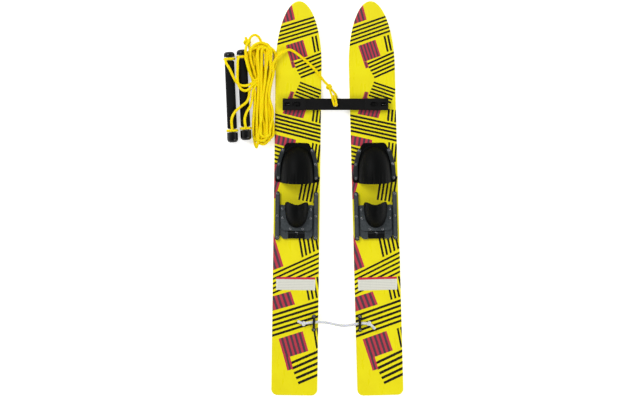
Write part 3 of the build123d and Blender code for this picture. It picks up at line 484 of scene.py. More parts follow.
def rope_mesh(name, line, radius, material, step, ring, closed=False):
    """Braided rope along a line. Its UV map runs round the rope and along it in rope turns."""
    places = spaced(line, step)
    if closed:
        places = places[:-1]
    count = len(places)
    lay = 2.0 * radius
    total = line_length(line)
    lay = total / max(1, round(total / lay)) if closed else lay
    points, faces, coordinates = [], [], []
    side = (places[1] - places[0]).orthogonal()
    for i, place in enumerate(places):
        if closed:
            ahead = places[(i + 1) % count] - places[i - 1]
        else:
            ahead = places[min(i + 1, count - 1)] - places[max(i - 1, 0)]
        ahead.normalize()
        side = (side - ahead * side.dot(ahead)).normalized()
        across = ahead.cross(side)
        along = i * total / count
        for j in range(ring):
            angle = 2 * math.pi * j / ring
            height = braid(j / ring, along / lay, STRAND_PAIRS)
            reach = radius * (BRAID_VALLEY + BRAID_RISE * height)
            points.append(place + (side * math.cos(angle) + across * math.sin(angle)) * reach)
    rows = count if closed else count - 1
    for i in range(rows):
        for j in range(ring):
            k = (j + 1) % ring
            low, high = i * ring, ((i + 1) % count) * ring
            faces.append((low + j, high + j, high + k, low + k))
            u0, u1 = j / ring, (j + 1) / ring
            v0, v1 = (x * total / count / lay for x in (i, i + 1))
            coordinates += [(u0, v0), (u0, v1), (u1, v1), (u1, v0)]
    if not closed:
        for first, order in ((0, 1), ((count - 1) * ring, -1)):
            cap = [first + j for j in range(ring)][::order]
            faces.append(tuple(cap))
            coordinates += [(j / ring, 0.0) for j in range(ring)]
    made = mesh_object(name, points, faces, material)
    layer = made.data.uv_layers.new(name="rope")
    layer.data.foreach_set("uv", [value for pair in coordinates for value in pair])
    return made


def rope_material(name, colour, painted_valley_shade, pale):
    """Braided filament rope: strands from the UV map, painted shade in the valleys between them, fine
    filaments and stray colour.
    """
    material, tree, shader, coordinates = new_material(name)
    split = tree.node("ShaderNodeSeparateXYZ", {0: coordinates.outputs["UV"]})
    turn = tree.math("MULTIPLY", split.outputs[0], STRAND_PAIRS)
    ways = [tree.math(word, turn, split.outputs[1]) for word in ("ADD", "SUBTRACT")]
    over = [
        tree.math("SINE", tree.math("MULTIPLY", tree.math("FRACT", way), math.pi)) for way in ways
    ]
    cells = tree.math("ADD", *[tree.math("FLOOR", way) for way in ways])
    swapped = tree.math("FRACT", tree.math("MULTIPLY", cells, 0.5))
    swapped = tree.math("GREATER_THAN", swapped, 0.25)
    crossed = tree.math("SUBTRACT", over[1], over[0])
    top = tree.math("MULTIPLY_ADD", swapped, crossed, over[0])
    under = tree.math("SUBTRACT", tree.math("ADD", *over), top)
    strands = tree.math("MULTIPLY", tree.math("POWER", top, 0.8), tree.math("POWER", under, 0.35))
    filaments = tree.noise(tree.stretch(coordinates.outputs["UV"], (60.0, 9.0, 1.0)), 1.0, 3.0)
    # Painted shade: the valleys between the strands take the darker second colour.
    shade = tree.mix(tree.span(strands, 0.1, 0.62), painted_valley_shade, colour)
    patches = tree.noise(coordinates.outputs["Object"], 60.0, 3.0)
    shade = tree.mix(tree.span(patches, 0.4, 0.7, 0.0, 0.5), shade, pale)
    shade = tree.mix(tree.span(filaments, 0.45, 0.8, 0.0, 0.35), shade, pale)
    tree.put(shader.inputs["Base Color"], shade)
    shader.inputs["Roughness"].default_value = 0.5
    shader.inputs["Specular IOR Level"].default_value = 0.12
    shader.inputs["Subsurface Weight"].default_value = 0.5
    shader.inputs["Subsurface Radius"].default_value = (0.006, 0.005, 0.0005)
    crowns = tree.bump(strands, 0.0004, 0.6)
    tree.put(shader.inputs["Normal"], tree.bump(filaments, 0.00012, 0.6, crowns))
    return material


# The second colour of each rope is painted shade for the valleys between its strands.
YELLOW_ROPE = rope_material("yellow_rope", srgb(255, 228, 0), srgb(232, 188, 0), srgb(255, 236, 10))
WHITE_CORD = rope_material(
    "white_cord", srgb(224, 226, 231), srgb(172, 175, 184), srgb(240, 241, 245)
)
ROPE_RADIUS = 4.0 * MM
EYE_RADIUS = 3.4 * MM
ROPE_BODY = "bar_and_rope"
# Knots: the radius over all, and the radius of the rope in them.
END_KNOT = (12.5, 4.2)
EYE_KNOT = (10.5, 4.0)
TAIL_KNOT = (8.2, 3.4)

# Control points of the rope from the eye's knot to the hank.
LEAD_ROUTE = (
    (46, 334, 10), (37, 342, 13.5), (25, 357, 22), (-3, 392, 22.5),
    (-34, 419, 26), (-56, 436, 29.5), (-72, 444, 31.5), (-89, 437, 33),
    (-104, 425, 35), (-116, 411, 34.5), (-122, 394, 32),
)
# The eye: from its knot twice over the bar's edge and down the bar's hole, and back to the knot.
EYE_ROUTE = (
    (47, 330, 11), (49, 320, 19), (52, 311, 30), (54.6, 302, 38.7),
    (57, 290, 38.5), (61.2, 276.2, 38.7), (61.6, 277.6, 25), (61.6, 277.6, 7.4),
    (58.5, 291, 8), (58.5, 304.5, 8.8), (60, 305.5, 21), (62, 305, 35),
    (63.8, 298, 39.2), (66, 289, 38.5), (67.8, 276.8, 38.7), (67.6, 278.2, 25),
    (67.6, 278, 7.4), (69, 295, 8), (66.5, 309, 8.2), (56, 322, 8.4),
    (47, 330, 9),
)
EYE_PLACE = (46, 333, 11)
# The tail cord between its loops, and its free ends beyond the knots.
TAIL_ROUTE = (
    (-29, -370, 43.9), (-14, -367.5, 42.2), (2, -366, 41.3), (21, -365.5, 41.2),
    (41, -367.5, 40.8), (62, -372.5, 38), (84, -377, 36.6), (104, -376, 40.4),
    (121, -372.5, 41.3), (137, -370, 41.4), (151, -369, 42.4), (163, -370, 43.9),
)
TAIL_ENDS = {
    "left": ((-29, -370, 42), (-39, -368, 41.6), (-48, -363, 41)),
    "right": ((163, -370, 42), (173, -376, 41.8), (182, -387, 41.8)),
}
# The handles: place of the middle and turn in degrees, and the places of their rope grooves.
HANDLES = {"a": (-246.0, 301.9, 2.4), "b": (-207.0, 308.7, 2.7)}
HANDLE_HEIGHT = 18.2
GROOVES = (-99.5, 113.5)
RING_RADIUS = 14.2
# Where a strand has left its groove: its reach from the handle's axis, and its shift along it.
STRAND_REACH = 21.5
STRAND_SHIFT = (6.5, -6.5)
# Control points of the bridles' strands, from a handle to the hank.
A_UPPER = (
    (-250, 388, 40), (-240, 364, 38.5), (-229, 344, 37), (-217, 336, 37.5),
    (-201, 335, 38.5), (-188, 340, 38), (-176, 348, 34), (-168, 357, 25),
)
A_LOWER = (
    (-245, 236, 39.5), (-235, 258, 39), (-216, 274, 38), (-200, 285, 37.5),
    (-192, 300, 35.5), (-191, 320, 35), (-185, 334, 36), (-175, 343, 34),
    (-167, 350, 26),
)
B_UPPER = (
    (-226, 390, 40), (-227, 366, 40), (-226, 346, 44), (-219, 327, 43),
    (-204, 319, 39), (-192, 325, 41), (-181, 337, 39), (-171, 347, 27),
)
B_SHORT = (
    (-196, 394, 40), (-190, 374, 38.5), (-183, 358, 37), (-173, 348, 28),
)
B_LOWER = (
    (-206, 236, 39.5), (-200, 257, 38), (-189, 272, 36), (-183, 292, 35),
    (-182, 312, 35), (-179, 330, 36), (-169, 341, 28),
)
# The strands by handle: the groove that each leaves, its turn round it in degrees, its points.
BRIDLES = {
    "a": ((1, -40, A_UPPER), (0, 0, A_LOWER)),
    "b": ((1, -40, B_UPPER), (1, 30, B_SHORT), (0, 0, B_LOWER)),
}


def handle_matrix(name):
    """A handle lies along Y, with its own z from the long cap to the short one."""
    x, y, turn = HANDLES[name]
    place = Matrix.Translation(Vector((x, y, HANDLE_HEIGHT)))
    return place @ Matrix.Rotation(math.radians(turn), 4, "Z") @ Matrix.Rotation(-math.pi / 2, 4, "X")


def groove_exit(name, groove, turn):
    """Where a strand leaves its ring, and where it has climbed over the edge of the grip."""
    ring = handle_matrix(name) @ Matrix.Translation(Vector((0, 0, GROOVES[groove])))
    ring = ring @ Matrix.Rotation(math.radians(turn), 4, "Z")
    on_ring = Vector((0, -RING_RADIUS, 0))
    over_edge = Vector((0, -STRAND_REACH, STRAND_SHIFT[groove]))
    return tuple(ring @ on_ring), tuple(ring @ over_edge)


def rope_piece(name, route, radius, material):
    """A rope along a route, with the line that it follows."""
    line = nurbs_line(name, route)
    made = rope_mesh(name, line, radius, material, *STRAND_MESH)
    return made, line


def knot_piece(name, place, axis, radius, strand, material):
    """Pulled-tight overhand knot: a closed rope in a trefoil, squeezed along the cord."""
    reach = (radius - strand) / 3
    turned = Vector(axis).to_track_quat("Z", "X").to_matrix()
    line = []
    for i in range(KNOT_STEPS + 1):
        t = 2 * math.pi * i / KNOT_STEPS
        flat = Vector((math.sin(t) + 2 * math.sin(2 * t), math.cos(t) - 2 * math.cos(2 * t), 0))
        flat *= reach
        flat.z = -KNOT_DEPTH * reach * math.sin(3 * t)
        line.append((turned @ flat + Vector(place)) * MM)
    return rope_mesh(name, line, strand * MM, material, *KNOT_MESH, closed=True)


def add_rings(name):
    """The rope wound once round each groove of a handle."""
    rings = []
    for groove, place in enumerate(GROOVES):
        middle = handle_matrix(name) @ Matrix.Translation(Vector((0, 0, place)))
        line = []
        for i in range(RING_STEPS + 1):
            angle = 2 * math.pi * i / RING_STEPS
            on_ring = Vector((RING_RADIUS * math.cos(angle), RING_RADIUS * math.sin(angle), 0))
            line.append((middle @ on_ring) * MM)
        ring_name = f"rope_ring_{name}_{groove}"
        ring = rope_mesh(ring_name, line, ROPE_RADIUS, YELLOW_ROPE, *STRAND_MESH, closed=True)
        rings.append(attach(ring, ROPE_BODY))
    return rings


def add_bridles():
    for name, strands in BRIDLES.items():
        rings = add_rings(name)
        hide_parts(f"bridle_{name}")
        for number, (groove, turn, points) in enumerate(strands):
            route = (*groove_exit(name, groove, turn), *points)
            made, line = rope_piece(f"bridle_{name}_{number}", route, ROPE_RADIUS, YELLOW_ROPE)
            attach(made, ROPE_BODY)


# Middle and half width of the hank's rope runs at heights along it.
HANK_SPINE = (
    (150, -163, 20), (175, -149, 31), (200, -148, 30), (240, -150, 27),
    (262, -152.5, 23), (290, -154.5, 20), (310, -154, 20.5), (335, -152.5, 25),
    (370, -153, 31.5), (400, -153, 35.5), (422, -154, 37), (438, -155, 34),
    (462, -156, 24),
)
HANK_LANES = (-1.0, -0.6, -0.2, 0.2, 0.6, 1.0)
HANK_HEIGHTS = (416, 372, 336, 298, 258, 220)
# The layers from the top one down: height, slant across the hank, and how far in its folds stay.
HANK_LAYERS = (
    (29.6, 0.26, 3, 0),
    (23.3, -0.26, 0, 6),
    (17.0, 0.22, 11, 4),
    (10.6, -0.2, 4, 10),
    (4.4, 0.1, 8, 2),
)
# The three stacks of loops: their lanes, and how far out their folds go.
HANK_LOOPS = ((2, 5, 180, 454), (1, 4, 169, 463), (0, 3, 162, 452))
# The order in which the rope goes round: stack and layer of each turn.
HANK_TURNS = (
    *((0, layer) for layer in (0, 1, 2, 3, 4)),
    *((1, layer) for layer in (4, 3, 2, 1, 0)),
    *((2, layer) for layer in (0, 2, 4, 3, 1)),
)
HANK_SEED = 5
# The slant is zero at the hank's middle and is whole at this distance from it.
HANK_MIDDLE = 310
HANK_HALF = 110
SLANT_SQUEEZE = 0.7
# Random strays of a run's points: across as a share, along and up.
STRAY_ACROSS = 0.08
STRAY_ALONG = 5
STRAY_UP = 1.0
HANK_FLOOR = 4.4
STACK_STEP = 1.5
# Shares of a fold's radius at which its control points lie, and its smallest half width.
FOLD_LEGS = 0.6
FOLD_SHOULDERS = 0.58
FOLD_CROWN = 1.15
FOLD_ROOM = 11.0
SMALLEST_FOLD = 11.0
# Control points that stray, by turn, lane and height: their share across and their lift.
HANK_STRAYS = {
    (0, 5, 258): (1.4, 0.0),
    (4, 5, 258): (1.15, 0.0),
    (9, 4, 372): (0.8, 0.0),
    (10, 3, 258): (0.0, 0.0),
    (10, 3, 220): (-0.35, 0.0),
    (10, 0, 416): (-1.2, 4.0),
    (10, 0, 372): (-1.1, 1.0),
    (8, 1, 416): (-0.95, 0.0),
}
# One fold drawn out at the hank's lower end, and the loop that stands out at its upper end.
DRAWN_TURN = 10
DRAWN_FOLD = (
    (-164, 188, 27), (-165.5, 171, 27.2), (-167.5, 157.5, 27), (-170.5, 151.5, 16.5),
    (-173.5, 157.5, 6), (-176, 171, 6.5), (-179, 188, 17),
)
HANK_EYE_TURN = 11
HANK_EYE = (
    (-189, 440, 17), (-193, 461, 16), (-189, 480, 16), (-176, 488.5, 16),
    (-163, 482, 16), (-156.5, 466, 15), (-148, 452, 12), (-143, 437, 7),
)
# The rope's other end: over the cap of a handle to its knot.
HANK_STUB = (
    (-196, 405, 30), (-201, 424, 36), (-203, 440, 36), (-200, 454, 24),
    (-197, 466, 13), (-203, 480, 10),
)


def hank_x(height, share):
    """Place across the hank, with share -1 at its left edge and 1 at its right."""
    height = min(max(height, HANK_SPINE[0][0]), HANK_SPINE[-1][0])
    for (low, middle, half), (high, next_middle, next_half) in zip(HANK_SPINE, HANK_SPINE[1:]):
        if height <= high:
            t = (height - low) / (high - low)
            return middle + (next_middle - middle) * t + share * (half + (next_half - half) * t)


def fold_points(start, end, reach, z):
    """Control points of a round fold between two runs, away from the hank's middle."""
    middle, half = (start + end) / 2, (end - start) / 2
    half = math.copysign(max(abs(half), SMALLEST_FOLD), half)
    start, end = middle - half, middle + half
    radius = math.copysign(half, reach - HANK_MIDDLE)
    centre = reach - radius
    z = max(z, HANK_FLOOR)
    return [
        (start, centre - FOLD_LEGS * radius, z),
        (start, centre + FOLD_SHOULDERS * radius, z),
        (middle, centre + FOLD_CROWN * radius, z),
        (end, centre + FOLD_SHOULDERS * radius, z),
        (end, centre - FOLD_LEGS * radius, z),
    ]


def hank_run(draw, turn, layer, lane):
    """Control points of one run from the top of the hank to its bottom."""
    z, slant = HANK_LAYERS[layer][:2]
    run = []
    for height in HANK_HEIGHTS:
        drift = slant * (height - HANK_MIDDLE) / HANK_HALF
        share = HANK_LANES[lane] * (1 - SLANT_SQUEEZE * abs(drift)) + drift
        share += draw.uniform(-STRAY_ACROSS, STRAY_ACROSS)
        share, lift = HANK_STRAYS.get((turn, lane, height), (share, 0.0))
        here = height + draw.uniform(-STRAY_ALONG, STRAY_ALONG)
        run.append((hank_x(here, share), here, z + lift + draw.uniform(0.0, STRAY_UP)))
    return run


def kept_before(run, fold):
    """The points of a run that ends at a fold, without those too near to it."""
    first, second = fold[0][1], fold[1][1]
    away = math.copysign(1.0, first - second)
    return [point for point in run if (point[1] - first) * away > FOLD_ROOM]


def hank_route():
    """Control points of the folded rope: long loops that lie beside and on each other."""
    draw = random.Random(HANK_SEED)
    runs, folds = [], []
    for turn, (loop, layer) in enumerate(HANK_TURNS):
        left, right, low, high = HANK_LOOPS[loop]
        z, _, low_step, high_step = HANK_LAYERS[layer]
        down = hank_run(draw, turn, layer, right)
        up = hank_run(draw, turn, layer, left)[::-1]
        if turn:
            start = runs[-1][-1]
            middle_z = (z + start[2]) / 2 + STACK_STEP - STACK_STEP * loop
            folds.append(fold_points(start[0], down[0][0], high - high_step, middle_z))
        folds.append(fold_points(down[-1][0], up[0][0], low + low_step, z - STACK_STEP * loop))
        runs += [down, up]
    folds[2 * DRAWN_TURN] = DRAWN_FOLD
    folds[2 * HANK_EYE_TURN + 1] = HANK_EYE
    route = kept_before(runs[0][1:], folds[0])
    for run, before, after in zip(runs[1:], folds, folds[1:]):
        route += before
        route += kept_before(kept_before(run, before[::-1]), after)
    last = kept_before(kept_before(runs[-1], folds[-1][::-1]), HANK_STUB)
    return [*route, *folds[-1], *last, *HANK_STUB]


def add_tow_rope():
    route = [*LEAD_ROUTE, *hank_route()]
    line = nurbs_line("tow_rope", route)
    made = rope_mesh("tow_rope", line, ROPE_RADIUS, YELLOW_ROPE, *HANK_MESH)
    knot = knot_piece("tow_rope_knot", HANK_STUB[-2], (-0.3, 1, 0), *END_KNOT, YELLOW_ROPE)
    eye, eye_line = rope_piece("tow_eye_rope", EYE_ROUTE, EYE_RADIUS, YELLOW_ROPE)
    eye_knot = knot_piece("tow_eye_knot", EYE_PLACE, (-0.5, 1, 0), *EYE_KNOT, YELLOW_ROPE)
    for piece in (made, knot, eye, eye_knot):
        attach(piece, ROPE_BODY)
    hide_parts("tow_rope_hank", "tow_rope_lead")
    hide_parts("tow_eye")


def add_tail_cord():
    made, line = rope_piece("tail_cord_rope", TAIL_ROUTE, ROPE_RADIUS, WHITE_CORD)
    pieces = []
    for side, route in TAIL_ENDS.items():
        end, _ = rope_piece(f"tail_cord_end_{side}", route, ROPE_RADIUS, WHITE_CORD)
        axis = Vector(route[-1]) - Vector(route[0])
        knot = knot_piece(f"tail_cord_knot_{side}", route[0], axis, *TAIL_KNOT, WHITE_CORD)
        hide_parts(f"tail_knot_{side}")
        pieces += [end, knot]
    for piece in (made, *pieces):
        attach(piece, ROPE_BODY)
    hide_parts("tail_cord")


# --- Rubbers ---
DECK = 12.0
RUBBER_WALL = 3.5
FLANGE_THICKNESS = 2.5
FILLET = 3.5
ARCH_STEPS = 56
RIM_STEPS = 8
NOSE_STEPS = 40
SMOOTH_ROUNDS = 4
# The thick edge of a rim fades between these distances from the rim.
BEAD_FADE = (3.0, 6.0)
# The toe pocket: half width, length and height of its dome, how blunt its plan is, and how far its
# rim leans towards the tail at the top.
TOE_SIZES = (49.0, 106.0, 56.0)
TOE_BLUNTNESS = 2.6
TOE_LEAN = 8.0
TOE_CORNER = 8.0
TOE_VOXEL = 1.25 * MM
TOE_BEAD = 1.2
FOLD_PITCH = 10.5
FOLD_HEIGHT = 0.9
FOLD_FADE = (6, 48)


def hood_points(sizes, bluntness, rim, details=None):
    """Grid of points over a half dome and the straight arch behind it, rim first. Its plan is
    rounder than an ellipse where bluntness is above 2."""
    a, b, c = sizes
    rows = []
    for j in range(RIM_STEPS + NOSE_STEPS + 1):
        behind = max(0.0, 1 - j / RIM_STEPS)
        nose = math.sin(math.pi / 2 * max(0, j - RIM_STEPS) / NOSE_STEPS)
        width = a * max(0.0, 1 - nose**bluntness) ** (1 / bluntness)
        height = c * math.sqrt(1 - nose**2)
        row = []
        for i in range(ARCH_STEPS + 1):
            angle = math.pi * i / ARCH_STEPS
            x, z = width * math.cos(angle), height * math.sin(angle)
            y = b * nose + rim(z) * behind
            row.append(details(x, y, z, angle, nose) if details else (x, y, z))
        rows.append(row)
    return rows


def shell_mesh(outer, inner):
    """Closed shell between two grids of points of one size."""
    points = [point for grid in (outer, inner) for row in grid for point in row]
    rows, columns = len(outer), len(outer[0])
    skin = rows * columns

    def at(layer, j, i):
        return layer * skin + j * columns + i

    faces = []
    for j in range(rows - 1):
        for i in range(columns - 1):
            faces.append((at(0, j, i), at(0, j, i + 1), at(0, j + 1, i + 1), at(0, j + 1, i)))
            faces.append((at(1, j, i), at(1, j + 1, i), at(1, j + 1, i + 1), at(1, j, i + 1)))
        for i in (0, columns - 1):
            faces.append((at(0, j, i), at(0, j + 1, i), at(1, j + 1, i), at(1, j, i)))
    for i in range(columns - 1):
        faces.append((at(0, 0, i), at(1, 0, i), at(1, 0, i + 1), at(0, 0, i + 1)))
    return points, faces


def slab(outline, low, high):
    """Closed slab over a convex or mildly bent outline."""
    count = len(outline)
    points = [(x, y, low) for x, y in outline] + [(x, y, high) for x, y in outline]
    faces = [tuple(range(count))[::-1], tuple(range(count, 2 * count))]
    faces += [(i, (i + 1) % count, count + (i + 1) % count, count + i) for i in range(count)]
    return points, faces


def rounded(outline, radius):
    """An outline with each of its corners cut round."""
    made = []
    count = len(outline)
    for i, corner in enumerate(outline):
        here = Vector(corner)
        before, after = Vector(outline[i - 1]), Vector(outline[(i + 1) % count])
        arrive, leave = (before - here).normalized(), (after - here).normalized()
        start, end = here + arrive * radius, here + leave * radius
        for j in range(7):
            t = j / 6
            made.append(tuple(start * (1 - t) ** 2 + here * 2 * t * (1 - t) + end * t**2))
    return made


def joined(parts):
    points, faces = [], []
    for part_points, part_faces in parts:
        base = len(points)
        points += part_points
        faces += [tuple(base + i for i in face) for face in part_faces]
    return points, faces


def in_frame(parts, matrix):
    points, faces = joined(parts)
    return [matrix @ (Vector(point) * MM) for point in points], faces


def smooth_step(low, high, value):
    t = min(1.0, max(0.0, (value - low) / (high - low)))
    return t * t * (3 - 2 * t)


def foot_flare(z):
    """How far the dome's foot spreads where it runs into its flange."""
    rise = min(FILLET, max(0.0, z - FLANGE_THICKNESS))
    return FILLET - math.sqrt(FILLET**2 - (FILLET - rise) ** 2)


def pushed_out(x, y, z, angle, nose, flare, lift):
    """A point moved out along the ground by flare, and off the arch by lift."""
    direction = Vector((math.cos(angle) * math.sqrt(1 - nose**2), nose)).normalized()
    out = direction * flare
    return (x + out.x + math.cos(angle) * lift, y + out.y, z + math.sin(angle) * lift)


def toe_details(x, y, z, angle, nose):
    """The toe pocket's foot, its folds near the rim and its thicker edge."""
    from_rim = y + TOE_LEAN * z / TOE_SIZES[2]
    crest = math.sin(angle)
    fading = 1 - smooth_step(*FOLD_FADE, from_rim)
    folds = FOLD_HEIGHT * math.cos(2 * math.pi * x / FOLD_PITCH) * fading * crest**3
    bead = TOE_BEAD * (1 - smooth_step(*BEAD_FADE, from_rim)) * crest
    return pushed_out(x, y, z, angle, nose, foot_flare(z), folds + bead)


TOE_REAR = 632.0
TOE_FLANGE = (
    (65.5, 0), (65.5, 13), (54, 76), (34, 118),
    (-34, 118), (-54, 76), (-65.5, 13), (-65.5, 0),
)


def thinner(sizes):
    return [size - RUBBER_WALL for size in sizes]


def toe_rim(z):
    return -TOE_LEAN * max(0.0, z - FLANGE_THICKNESS) / (TOE_SIZES[2] - FLANGE_THICKNESS)


def add_toe(side, material):
    outer = hood_points(TOE_SIZES, TOE_BLUNTNESS, toe_rim, toe_details)
    inner = hood_points(thinner(TOE_SIZES), TOE_BLUNTNESS, toe_rim)
    shell = shell_mesh(outer, inner)
    flange = slab(rounded(TOE_FLANGE, TOE_CORNER), 0.0, FLANGE_THICKNESS)
    matrix = ski_matrix(side) @ Matrix.Translation(Vector((0, TOE_REAR, DECK)) * MM)
    points, faces = in_frame([shell, flange], matrix)
    made = outward(mesh_object(f"{side}_toe_boot", points, faces, material))
    remeshed(made, TOE_VOXEL)
    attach(made, f"{side}_ski")
    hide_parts(f"{side}_toe_rubber")


HEEL_MIDDLE = 558.0
HEEL_SIZES = (34.5, 61.0, 58.0)
HEEL_BLUNTNESS = 2.4
HEEL_CORNER = 10.0
HEEL_VOXEL = 1.15 * MM
HEEL_BEAD = 1.0
HEEL_FLARE = 0.6
# Three points of the heel cup's rim from the side: its reach towards the tip, and its height.
HEEL_RIM_POINTS = ((5.0, -3.5), (13.0, 40.0), (0.0, 61.5))
HEEL_FLANGE = ((45, -68.5), (45, 4), (-45, 4), (-45, -68.5))
PLATE_TOP = 6.4


def circle_through(p, q, r):
    """Centre and radius of the circle through three points."""
    (ax, ay), (bx, by), (cx, cy) = p, q, r
    d = 2 * (ax * (by - cy) + bx * (cy - ay) + cx * (ay - by))
    sa, sb, sc = ax**2 + ay**2, bx**2 + by**2, cx**2 + cy**2
    x = (sa * (by - cy) + sb * (cy - ay) + sc * (ay - by)) / d
    y = (sa * (cx - bx) + sb * (ax - cx) + sc * (bx - ax)) / d
    return x, y, math.hypot(ax - x, ay - y)


def heel_rim(z):
    x, y, radius = circle_through(*HEEL_RIM_POINTS)
    return x + math.sqrt(max(0.0, radius**2 - (z - y) ** 2))


def heel_details(x, y, z, angle, nose):
    """The heel cup's foot and its thicker edge."""
    from_rim = y + heel_rim(z)
    bead = HEEL_BEAD * (1 - smooth_step(*BEAD_FADE, from_rim)) * math.sin(angle)
    return pushed_out(x, y, z, angle, nose, HEEL_FLARE * foot_flare(z), bead)


def add_heel(side, material):
    outer = hood_points(HEEL_SIZES, HEEL_BLUNTNESS, lambda z: -heel_rim(z), heel_details)
    inner = hood_points(thinner(HEEL_SIZES), HEEL_BLUNTNESS, lambda z: -heel_rim(z))
    points, faces = shell_mesh(outer, inner)
    cup = ([(-x, -y, z) for x, y, z in points], faces)
    flange = slab(rounded(HEEL_FLANGE, HEEL_CORNER), 0.0, FLANGE_THICKNESS)
    place = Vector((0, HEEL_MIDDLE, DECK + PLATE_TOP)) * MM
    matrix = ski_matrix(side) @ Matrix.Translation(place)
    points, faces = in_frame([cup, flange], matrix)
    made = outward(mesh_object(f"{side}_heel_cup", points, faces, material))
    remeshed(made, HEEL_VOXEL)
    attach(made, f"{side}_heel")
    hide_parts(f"{side}_heel_rubber")


# --- Handle grips ---
GRIP_SPAN = (-94.0, 108.0)
GRIP_RADIUS = 14.5
GRIP_BORE = 10.05
# The soft ends: their length, and how much thinner they get. Then the rest of the foam's shape.
GRIP_END = 3.0
GRIP_THINNING = 2.2
GRIP_LOSS = 0.15
GRIP_SWELL = 0.4
BORE_INSET = 0.2
GRIP_SEEDS = {"a": 3, "b": 4}
GRIP_WAVES = 4
GRIP_STEPS = 69
GRIP_RING = 48


def add_grip(name, material):
    """Foam sleeve, a little uneven, with soft ends."""
    draw = random.Random(GRIP_SEEDS[name])
    low, high = GRIP_SPAN
    waves = []
    for _ in range(GRIP_WAVES):
        rate, phase = draw.uniform(0.01, 0.05), draw.uniform(0, 6.3)
        waves.append((rate, phase, draw.uniform(0.05, 0.12)))
    profile = []
    for i in range(GRIP_STEPS + 1):
        z = low + (high - low) * i / GRIP_STEPS
        from_end = min(z - low, high - z)
        ease = math.sqrt(max(0.0, 1 - (1 - min(1.0, from_end / GRIP_END)) ** 2))
        swell = sum(size * math.sin(z * rate + phase) for rate, phase, size in waves)
        outside = GRIP_RADIUS - GRIP_THINNING * (1 - ease) - GRIP_LOSS
        profile.append((outside + swell * ease * GRIP_SWELL, z))
    profile.append((GRIP_BORE, high - BORE_INSET))
    profile.append((GRIP_BORE, low + BORE_INSET))
    matrix = handle_matrix(name)
    points, faces = [], []
    for radius, z in profile:
        for j in range(GRIP_RING):
            angle = 2 * math.pi * j / GRIP_RING
            point = Vector((radius * math.cos(angle), radius * math.sin(angle), z))
            points.append((matrix @ point) * MM)
    rows = len(profile)
    for i in range(rows):
        for j in range(GRIP_RING):
            k = (j + 1) % GRIP_RING
            here, ahead = i * GRIP_RING, (i + 1) % rows * GRIP_RING
            faces.append((here + j, here + k, ahead + k, ahead + j))
    made = outward(mesh_object(f"grip_{name}_foam", points, faces, material))
    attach(made, ROPE_BODY)
    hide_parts(f"handle_{name}_grip")


# --- Putting it together ---
add_tow_rope()
add_bridles()
add_tail_cord()

rubber = moulded("black_rubber", srgb(6, 7, 7), srgb(34, 34, 34), 0.52, 0.00008, 900.0, 0.07)
binding = moulded("binding_plastic", srgb(36, 42, 44), srgb(84, 90, 94), 0.42, 0.00004, 1400.0, 0.35)
dark_plastic = moulded("dark_plastic", srgb(7, 7, 8), srgb(40, 42, 44), 0.4, 0.00004, 1400.0, 0.2)
bar_plastic = moulded("bar_plastic", srgb(12, 12, 12), srgb(17, 17, 17), 0.46, 0.00006, 1100.0, 0.16)
cap_plastic = moulded("cap_plastic", srgb(5, 5, 6), srgb(30, 32, 35), 0.2, 0.00002, 1400.0, 0.35)
foam = moulded("grip_foam", srgb(16, 17, 18), srgb(34, 35, 36), 0.78, 0.0002, 1600.0, 0.12)
screw_steel = steel("screw_steel", srgb(172, 174, 178), 0.28)
spring_steel = steel("spring_steel", srgb(180, 182, 186), 0.3)
tube_metal = steel("tube_metal", srgb(196, 198, 202), 0.35)
# Materials of the CAD nodes by the end of their names. Only the skis and the cords aren't here.
ENDINGS = (
    ("_fin", dark_plastic),
    ("screws", screw_steel),
    ("strip_inner", binding),
    ("strip_outer", binding),
    ("rail_inner", binding),
    ("rail_outer", binding),
    ("_rack", dark_plastic),
    ("_bar_stud", dark_plastic),
    ("_tail_loop", dark_plastic),
    ("heel_plate", binding),
    ("heel_frame", binding),
    ("lever_pin", screw_steel),
    ("_spring", spring_steel),
    ("lock_lever", dark_plastic),
    ("spreader_bar", bar_plastic),
    ("bar_latch", bar_plastic),
    ("end_plug", bar_plastic),
    ("_core", tube_metal),
    ("_cap", cap_plastic),
    ("_rubber", rubber),
    ("_grip", foam),
)


def dress_frame():
    group = stripes_group()
    skis = {side: printed_ski(side, group) for side in SIDES}
    for name, made in nodes.items():
        material = next((m for ending, m in ENDINGS if name.endswith(ending)), WHITE_CORD)
        if name.endswith("_ski"):
            material = skis[name.split("_")[0]]
        made.data.materials.clear()
        made.data.materials.append(material)


dress_frame()
for ski_side in SIDES:
    add_toe(ski_side, rubber)
    add_heel(ski_side, rubber)
for handle_name in HANDLES:
    add_grip(handle_name, foam)


# --- Stage ---
FLOOR_HALF = 6
FLOOR_DROP = 0.0005


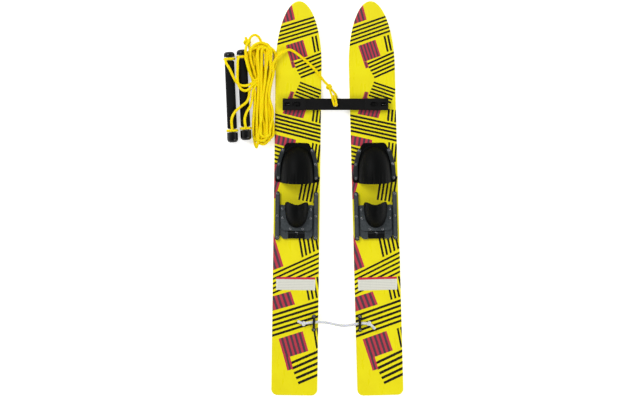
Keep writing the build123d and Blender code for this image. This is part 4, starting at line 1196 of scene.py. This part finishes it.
def add_floor():
    """White floor that takes the pair's shadow. It glows for the camera and in reflections only."""
    material, tree, shader, _ = new_material("floor")
    tree.put(shader.inputs["Base Color"], srgb(246, 246, 246))
    shader.inputs["Roughness"].default_value = 0.9
    path = tree.node("ShaderNodeLightPath")
    seen = tree.math("MAXIMUM", path.outputs["Is Camera Ray"], path.outputs["Is Glossy Ray"])
    glow = tree.node("ShaderNodeEmission", {"Color": (1, 1, 1, 1), "Strength": 0.55})
    both = tree.node("ShaderNodeAddShader")
    tree.put(both.inputs[0], shader.outputs[0])
    tree.put(both.inputs[1], glow.outputs[0])
    choose = tree.node("ShaderNodeMixShader")
    tree.put(choose.inputs[0], seen)
    tree.put(choose.inputs[1], shader.outputs[0])
    tree.put(choose.inputs[2], both.outputs[0])
    output = material.node_tree.nodes["Material Output"]
    tree.put(output.inputs["Surface"], choose.outputs[0])
    corners = [
        (x * FLOOR_HALF, y * FLOOR_HALF, -FLOOR_DROP) for x, y in ((-1, -1), (1, -1), (1, 1), (-1, 1))
    ]
    floor = mesh_object("floor", corners, [(0, 1, 2, 3)], material)


def add_world():
    """White to the camera and through clear pieces, else a bright horizon under a dim sky."""
    world = bpy.data.worlds.new("world")
    bpy.context.scene.world = world
    world.use_nodes = True
    tree = Tree(world.node_tree)
    background = world.node_tree.nodes["Background"]
    path = tree.node("ShaderNodeLightPath")
    seen = tree.math("MAXIMUM", path.outputs["Is Camera Ray"], path.outputs["Is Transmission Ray"])
    background.inputs["Color"].default_value = (1.0, 1.0, 1.0, 1.0)
    split = tree.node(
        "ShaderNodeSeparateXYZ", {0: tree.node("ShaderNodeTexCoord").outputs["Generated"]}
    )
    sky = tree.span(split.outputs[2], 0.3, 0.95, 0.95, 0.12)
    plain = tree.math("SUBTRACT", 1.0, seen)
    lit = tree.math("MULTIPLY", plain, sky)
    tree.put(background.inputs["Strength"], tree.math("ADD", lit, seen))


add_floor()
add_world()
add_lamp("key", (-1.4, 1.5, 2.3), (1.4, 1.4), 44.0)
add_lamp("fill", (1.9, -1.1, 2.0), (1.6, 1.6), 30.0)
bpy.context.scene.view_settings.view_transform = "Standard"
